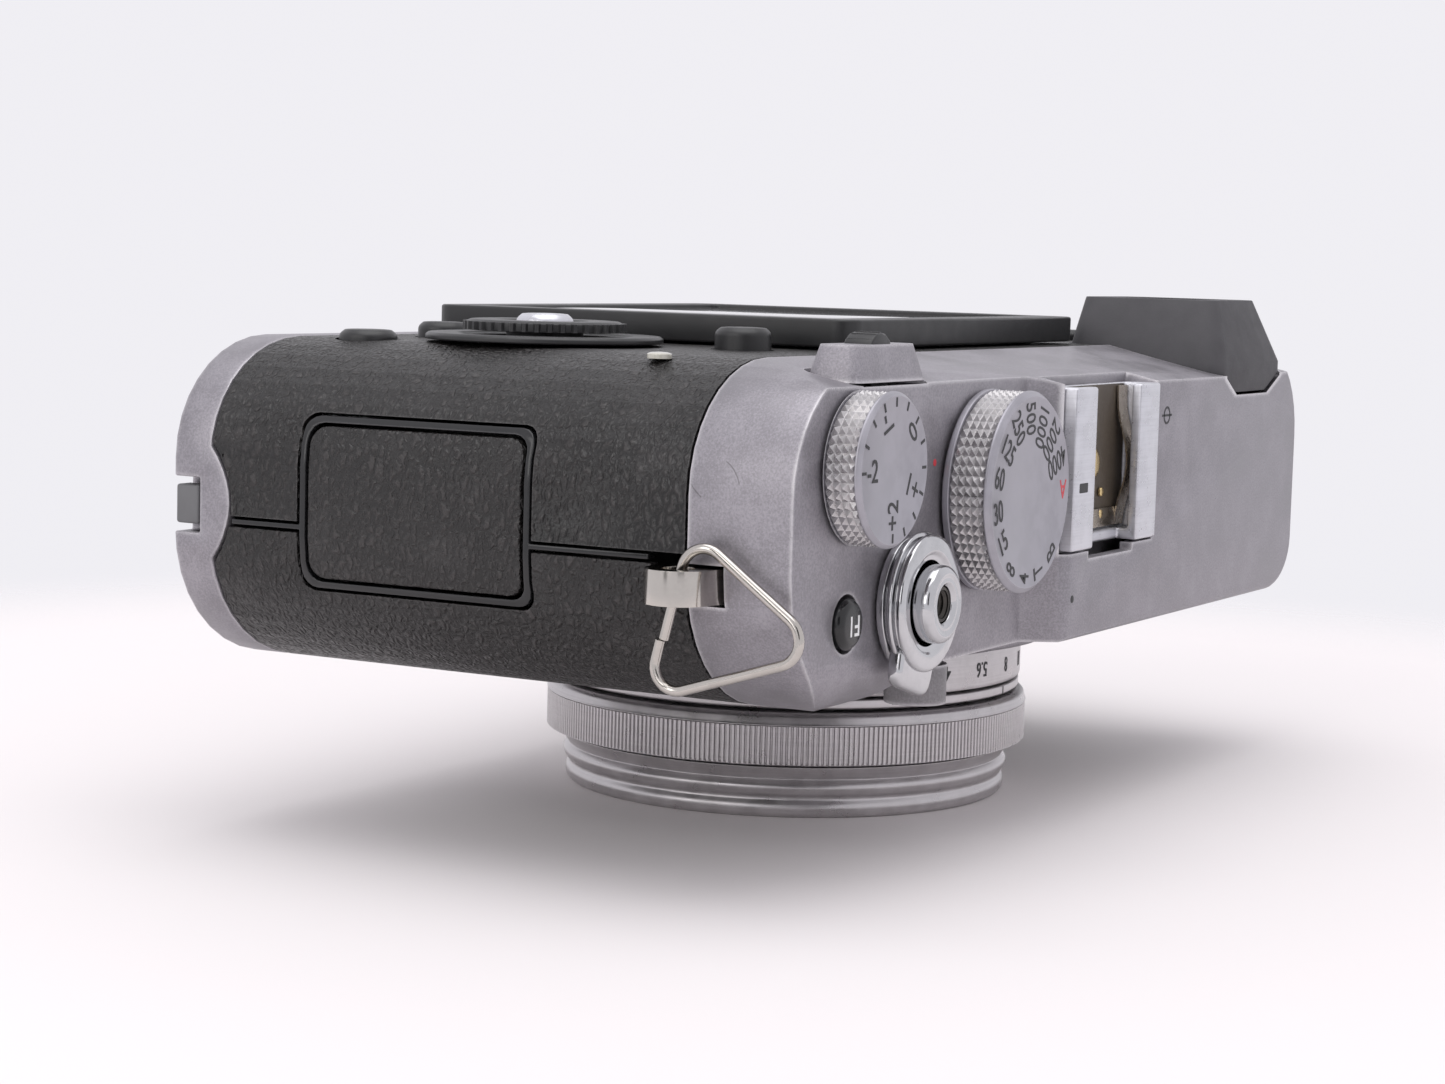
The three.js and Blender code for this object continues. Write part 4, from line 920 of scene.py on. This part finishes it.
def lug_and_ring(side, out):
    lug_node, ring_node = f"lug_{side}", f"strap_ring_{side}"
    carried(lug_node, f"{side}_strap_lug", STEEL, ease=1.1, segments=6, smooth=40)
    eye = middle(lug_node)
    x = middle(ring_node).x
    route = bent_round(PEGS, BENDS)
    joint = route[-1].lerp(route[0], JOINT_SHARE)
    inward = Vector((0.12, 0.02))
    route = [joint + inward, *route, joint - inward * 0.2]
    points = [Vector((x, eye.y + p.x, eye.z + p.y)) for p in route]
    points[0].x -= out * 0.25
    points[-1].x += out * 0.1
    put(wire(points, WIRE), f"{side}_strap_ring", ring_node, STEEL,
        stands_for=[ring_node], smooth=50)


lug_and_ring("right", 1)
lug_and_ring("left", -1)
print("ring:", triangles["right_strap_ring"], "triangles")

# %% [markdown]
# ## Lens rings
# The lens is a stack of turned rings. From the floor up: the front ring with two rounded ridges,
# the focus ring with three hundred fine ribs, the fixed index ring, the aperture ring with two
# ribbed grips and engraved numbers, and the flange on the body. One rib is made and spun into the
# whole row, and each ring keeps the heights of its CAD node.

# %% Lens rings
LENS_AXIS = (LENS.x, LENS.y, 0)


def lens_ring(node, name, profile, steps=192, body=None, material=None):
    piece = turned(profile, steps)
    return put(piece, name, body or node, material or RING_METAL, LENS_AXIS,
               stands_for=[node])


def rib_row(radius, low, high, width, height, count, turn=2 * pi, first=0.0):
    """Fine ribs with a sloped top and bottom, in a row round the lens."""
    half = width / 2
    rib = slab([(radius - 0.1, -half), (radius + height, -half * 0.45),
                (radius + height, half * 0.45), (radius - 0.1, half)], low, high)
    rib = moved(rib, turn=(0, 0, first))
    return repeated(rib, count, turn)


front_top = span("front_ring")[1].z
lens_ring("front_ring", "filter_ring", [
    (22.6, 0), (24.4, 0, 0.2), (24.85, 0.35, 0.5), (25.0, 1.3, 0.8), (24.55, 1.95, 0.3),
    (24.6, 2.3, 0.3), (25.05, 2.6, 0.5), (25.3, 3.4, 0.8), (24.85, 4.0, 0.2), (24.7, 4.15, 0.1),
    (24.8, 4.35, 0.1), (25.7, front_top, 0.2), (19.3, front_top), (19.3, 3.2), (21.6, 1.2),
    (22.3, 1.2, 0.1), (22.3, 0.5), (22.6, 0.5), (22.6, 0)], body=BODY)

low, high = span("focus_ring")
focus_r = (high.x - low.x) / 2
knurl_low, knurl_high = low.z + 0.1, low.z + 4.25
lens_ring("focus_ring", "focus_ring_core", [
    (19.4, low.z), (focus_r - 0.7, low.z, 0.2), (focus_r - 0.35, knurl_low + 0.2, 0.1),
    (focus_r - 0.35, knurl_high, 0.05), (focus_r - 0.05, knurl_high + 0.12, 0.1),
    (focus_r - 0.15, knurl_high + 0.3, 0.1), (focus_r - 0.35, high.z - 0.35, 0.2),
    (focus_r - 0.8, high.z, 0.3), (19.4, high.z), (19.4, low.z)])
ribs = rib_row(focus_r - 0.36, knurl_low + 0.12, knurl_high, 0.5, 0.22, 312)
put(ribs, "focus_ring_ribs", "focus_ring", RING_METAL, LENS_AXIS, smooth=10)

low, high = span("index_ring")
lens_ring("index_ring", "index_ring_turned", [
    (19.3, low.z), (26.1, low.z, 0.15), (26.3, low.z + 0.2, 0.1), (26.3, high.z - 0.1, 0.1),
    (26.1, high.z, 0.1), (19.3, high.z), (19.3, low.z)], body=BODY)

low, high = span("aperture_ring")
aperture_r = (high.x - low.x) / 2
lens_ring("aperture_ring", "aperture_ring_core", [
    (19.4, low.z), (aperture_r - 0.55, low.z, 0.1), (aperture_r - 0.45, low.z + 0.3, 0.1),
    (aperture_r - 0.45, high.z - 0.3, 0.1), (aperture_r - 0.7, high.z, 0.15),
    (19.4, high.z), (19.4, low.z)])
for i, first in enumerate((42, 222)):
    grip = rib_row(aperture_r - 0.46, low.z + 0.35, high.z - 0.35, 0.85, 0.45, 52, radians(84),
                   radians(first))
    put(grip, f"aperture_grip_{i + 1}", "aperture_ring", RING_METAL, LENS_AXIS,
        smooth=10)

low, high = span("lens_base")
lens_ring("lens_base", "lens_flange", [
    (12, low.z), (29.2, low.z, 0.3), (29.6, low.z + 0.4, 0.2), (29.6, high.z),
    (22.6, high.z), (22.6, high.z + 0.01), (12, high.z + 0.01), (12, low.z)], body=BODY,
    material=COVER_PAINT)
low, high = span("lens_barrel")
lens_ring("lens_barrel", "inner_barrel", [
    (17.6, low.z), (19.0, low.z), (19.0, high.z), (10.5, high.z), (10.5, 6.2, 0.2),
    (11.6, 6.2, 0.1), (12.2, 5.4, 0.1), (13.4, 5.2, 0.1), (14.0, 4.4, 0.1), (15.2, 4.2, 0.1),
    (15.8, 3.4, 0.1), (17.0, 3.2, 0.2), (17.6, 2.4), (17.6, low.z)], body=BODY,
    material=SATIN_BLACK)
low, high = span("front_element")
glass_r = (high.x - low.x) / 2
bulge = 1.6
dome = [(glass_r * cos(t * pi / 16), low.z + bulge * (1 - sin(t * pi / 16))) for t in range(9)]
lens_ring("front_element", "front_glass", [*[(max(r, 0), h) for r, h in reversed(dome)],
                                           (glass_r, high.z - 1.6), (0, high.z - 1.6)],
          body=BODY, material=LENS_GLASS)
print("focus ring:", triangles["focus_ring_ribs"], "triangles in the ribs")


# %% Numbers and marks on the lens
def round_the_lens(texts, radius, z, height, squeeze, first_deg, step_deg):
    """Numbers that stand on a ring, read from above the camera."""
    made = []
    for i, text in enumerate(texts):
        letters = lettering(text, height, squeeze, 0.06, "CENTER")
        letters = moved(letters, turn=(pi / 2, 0, pi))
        letters = moved(letters, turn=(0, pi, 0))
        letters = moved(letters, (0, radius, z))
        made.append(moved(letters, turn=(0, 0, radians(first_deg + step_deg * i - 90))))
    return joined(*made)


INDEX_AT = 3  # degrees past the top plate's side
NUMBERS = ["2", "2.8", "4", "5.6", "8", "11", "16", "A"]
ring_z = middle("aperture_ring").z
put(round_the_lens(NUMBERS, aperture_r - 0.44, ring_z, 1.6, 0.75, 43.5, 12.5),
    "aperture_numbers", "aperture_ring", BLACK_INK, LENS_AXIS)
index_z = middle("index_ring").z
mark = block((-0.12, 0.12), (-0.4, 0.4), 26.28, 26.32)
mark = moved(mark, turn=(-pi / 2, 0, 0))
put(moved(mark, turn=(0, 0, radians(INDEX_AT))), "aperture_index", BODY, BLACK_INK,
    (LENS.x, LENS.y, index_z))

# %% [markdown]
# ## Accessory shoe
# The rails are folded from plate in the real camera, so the CAD block only needs its edges eased.
# A dark floor plate, two bowed leaf springs and the contacts go into the slot. A spring is a strip
# whose side view is an arc.

# %% Accessory shoe
carried("hot_shoe", "shoe_rails", SHOE_METAL, ease=0.28, segments=3)
low, high = span("hot_shoe_spring")
rails_low, rails_high = span("hot_shoe")
floor_y = low.y - 0.3
plate = block((low.x, high.x), (rails_low.z + 1.5, rails_high.z - 0.1), 0, 0.12, 0.4)
plate = moved(plate, turn=(pi / 2, 0, 0))
put(plate, "shoe_floor", BODY, SHOE_BROWN, (0, floor_y + 0.14, 0))


LEAF_THICK = 0.18


def leaf(x0, x1, z0, z1, rise, steps=12):
    """A strip bowed upwards between its ends."""
    points = []
    for k in range(steps + 1):
        t = k / steps
        points.append((-(z0 + (z1 - z0) * t), rise * sin(pi * min(1, t * 1.1)) ** 2))
    outline = [*points, *[(z, y + LEAF_THICK) for z, y in reversed(points)]]
    return slab(outline, x0, x1)


LEAF_WIDE, LEAF_RISE, BRIDGE_DEEP = 2.5, 1.3, 2.0
left_leaf = leaf(low.x, low.x + LEAF_WIDE, low.z, high.z, LEAF_RISE)
right_leaf = leaf(high.x - LEAF_WIDE, high.x, low.z, high.z, LEAF_RISE)
bridge = leaf(low.x, high.x, low.z, low.z + BRIDGE_DEEP, 0.05)
put(joined(left_leaf, right_leaf, bridge), "shoe_springs", BODY, SPRING_STEEL,
    (0, low.y, 0), ON_SIDE, ["hot_shoe_spring"])
low, high = span("hot_shoe_contact")
spot = middle("hot_shoe_contact")
contact = turned([(0, 0), (1.6, 0), (1.6, 0.3, 0.2), (1.2, 0.42, 0.2), (0, 0.46)], 48)
put(contact, "shoe_centre_contact", BODY, BRASS, (spot.x, low.y, spot.z), ON_DECK,
    ["hot_shoe_contact"])
spots = [(-2.6, 3.2), (2.6, 3.2), (-2.6, 5.6), (2.6, 5.6)]
pins = [turned([(0, 0), (0.5, 0), (0.5, 0.25, 0.15), (0, 0.32)], 24) for _ in spots]
pins = [moved(pin, (x, y, 0)) for pin, (x, y) in zip(pins, spots)]
put(joined(*pins), "shoe_pins", BODY, BRASS, (spot.x, low.y, spot.z), ON_DECK)
print("shoe made")

# %% [markdown]
# ## Buttons, lever and rear controls
# Every small button is turned with a low dome, and all but the function button get a fine ring
# groove. The ring dial has forty ridges round its rim. The finder lever is a hub with a flat arm,
# and the command toggle is a paddle with ridges that stop a thumb from slipping.


# %% Buttons
def button_cap(radius, low, top, crown, groove=True):
    edge = [(radius, top - crown, crown * 0.8), (radius * 0.8, top - crown * 0.15, 0.3)]
    if groove:
        edge += [(radius * 0.74, top - crown * 0.12, 0.03),
                 (radius * 0.71, top - crown * 0.35, 0.03),
                 (radius * 0.66, top - crown * 0.08, 0.03)]
    return turned([(0, low), (radius, low), *edge, (radius * 0.35, top - 0.02, 0.3), (0, top)], 64)


REAR_BUTTONS = ["display_button", "quick_button", "lock_button",
                *[f"left_button_{i}" for i in range(1, 5)]]
for node in REAR_BUTTONS:
    low, high = span(node)
    spot = middle(node)
    cap = button_cap((high.x - low.x) / 2, low.z, high.z, 0.55)
    put(cap, node + "_cap", node, SATIN_BLACK, (spot.x, spot.y, 0),
        stands_for=[node])

low, high = span("fn_button")
spot = middle("fn_button")
put(button_cap((high.x - low.x) / 2, low.y, high.y, 0.6, groove=False), "function_button",
    "fn_button", GLOSS_BLACK, (spot.x, 0, spot.z), ON_DECK, ["fn_button"])
label = lettering("F1", 1.9, 0.9, 0.06, "CENTER")
put(label, "function_label", "fn_button", WHITE_INK, (spot.x, high.y - 0.02, spot.z), ON_DECK)

# %% Ring dial and its button
low, high = span("ring_dial_plate")
spot = middle("ring_dial_plate")
plate_r = (high.x - low.x) / 2
put(turned([(4.25, low.z), (plate_r - 0.1, low.z), (plate_r, low.z + 0.1, 0.05),
            (plate_r, high.z - 0.25, 0.1), (plate_r - 0.3, high.z, 0.15), (8.9, high.z, 0.05),
            (8.7, high.z - 0.2, 0.05), (4.25, high.z - 0.2), (4.25, low.z)], 128),
    "ring_dial_base", BODY, SATIN_BLACK, (spot.x, spot.y, 0),
    stands_for=["ring_dial_plate"])
low, high = span("ring_dial")
ring_r = (high.x - low.x) / 2
rim = ring_r - 0.35
ring = turned([(3.25, low.z), (3.9, low.z), (3.9, high.z - 1.1), (rim, high.z - 1.1, 0.1),
               (rim, high.z - 0.25, 0.1), (ring_r - 0.8, high.z, 0.2), (4.6, high.z, 0.3),
               (4.1, high.z - 0.4, 0.3), (3.25, high.z - 0.4), (3.25, low.z)], 128)
ridges = rib_row(ring_r - 0.36, high.z - 1.05, high.z - 0.2, 0.8, 0.34, 40)
put(ring, "ring_dial_wheel", "ring_dial", SATIN_BLACK, (spot.x, spot.y, 0),
    stands_for=["ring_dial"])
put(ridges, "ring_dial_ridges", "ring_dial", SATIN_BLACK, (spot.x, spot.y, 0),
    smooth=10)
low, high = span("ok_button")
put(button_cap((high.x - low.x) / 2, low.z, high.z, 0.6), "ok_cap", "ok_button", SHOE_METAL,
    (spot.x, spot.y, 0), stands_for=["ok_button"])

# %% Command toggle, finder lever and dioptre wheel
def tapered(piece, top, share):
    """Shrinks the upper face of a plate, in its own plane."""
    pick(piece, "VERT", lambda vertex: vertex.co.z > top - 0.01)
    bpy.ops.transform.resize(value=(share[0], share[1], 1))
    bpy.ops.object.mode_set(mode="OBJECT")
    return piece


low, high = span("toggle_housing")
spot = middle("toggle_housing")
half = (high - low) / 2
bridge = block((-half.x, half.x), (-half.y, half.y), low.z, high.z, 1.5)
bridge = tapered(bridge, high.z, (0.86, 0.7))
soften(bridge, 0.45, 4, 25)
put(bridge, "toggle_bridge", BODY, COVER_PAINT, (spot.x, spot.y, 0),
    stands_for=["toggle_housing"])
low, high = span("command_toggle")
paddle = copy_of("command_toggle")
soften(paddle, 0.25, 3)
put(paddle, "toggle_paddle", "command_toggle", SATIN_BLACK,
    stands_for=["command_toggle"])
spot = middle("command_toggle")
RIDGE_PITCH, RIDGE_SAG = 0.8, 0.16
ridge_row = []
for i in range(-2, 3):
    ridge = block((-0.16, 0.16), (-1.3, 1.3), -0.12, 0.12, 0.1)
    ridge_row.append(moved(ridge, (i * RIDGE_PITCH, 0, -i * i * RIDGE_SAG)))
put(joined(*ridge_row), "toggle_ridges", "command_toggle", SATIN_BLACK,
    (spot.x, spot.y, high.z - 0.08))
carried("finder_lever", "finder_selector", DARKER_PAINT, "finder_lever", 0.3, 4)
carried("diopter_wheel", "dioptre_knob", SATIN_BLACK, "diopter_wheel", 0.2)
carried("battery_latch", "battery_catch", SATIN_BLACK, "battery_latch", 0.15)
carried("tripod_socket", "tripod_bush", STEEL, ease=0.2)
print("controls made")

# %% [markdown]
# ## Small marks and lamps
# Painted marks on the deck, the indicator lamp by the ring dial and the lamp in the front: they are
# too small for the CAD model, so they only exist here and ride on the body.

# %% Small marks and lamps
upper_deck = span("top_cover")[1].y


def on_deck(piece, name, material, x, z, height):
    put(piece, name, BODY, material, (LENS.x + x, height, z), ON_DECK)


def dot(radius, proud=0.03):
    return turned([(0, -0.05), (radius, -0.05), (radius, proud, 0.01), (0, proud)], 32)


on_deck(block((-1.1, 1.1), (-0.5, 0.5), -0.05, 0.03, 0.15), "speed_index", BLACK_INK, 9.8, 36.2,
        rails_high.y)
on_deck(dot(0.35), "exposure_index", RED_INK, 36.7, 39.9, DECK)
plane_ring = turned([(0.75, -0.05), (1.0, -0.05), (1.0, 0.03), (0.75, 0.03), (0.75, -0.05)], 48)
plane_bar = block((-1.5, 1.5), (-0.12, 0.12), -0.05, 0.03)
on_deck(joined(plane_ring, plane_bar), "film_plane_mark", BLACK_INK, -15.0, 42.9, upper_deck)
on_deck(dot(0.4), "deck_hole", BLACK_INK, 10.6, 24.6, upper_deck)
put(turned([(0, -0.4), (1.2, -0.4), (1.2, 0.05, 0.1), (0.8, 0.2, 0.2), (0, 0.25)], 32),
    "indicator_lamp", BODY, LAMP_GLASS, (LENS.x + 56, LENS.y + 15, 49.9))
put(turned([(0, -0.4), (2.0, -0.4), (2.0, 0.05, 0.1), (1.2, 0.12, 0.4), (0, 0.25)], 32),
    "front_lamp", BODY, LAMP_GLASS, (LENS.x - 27, LENS.y + 31, 20.3), (pi, 0, 0))
print("marks made:", len(triangles), "pieces,", sum(triangles.values()), "triangles in all")

# %% [markdown]
# ## Finish
# The size of the box round every shown piece, the backdrop left out, is printed.

# %% Finish
low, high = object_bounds()
print("size:", [round(v, 4) for v in (high - low)])
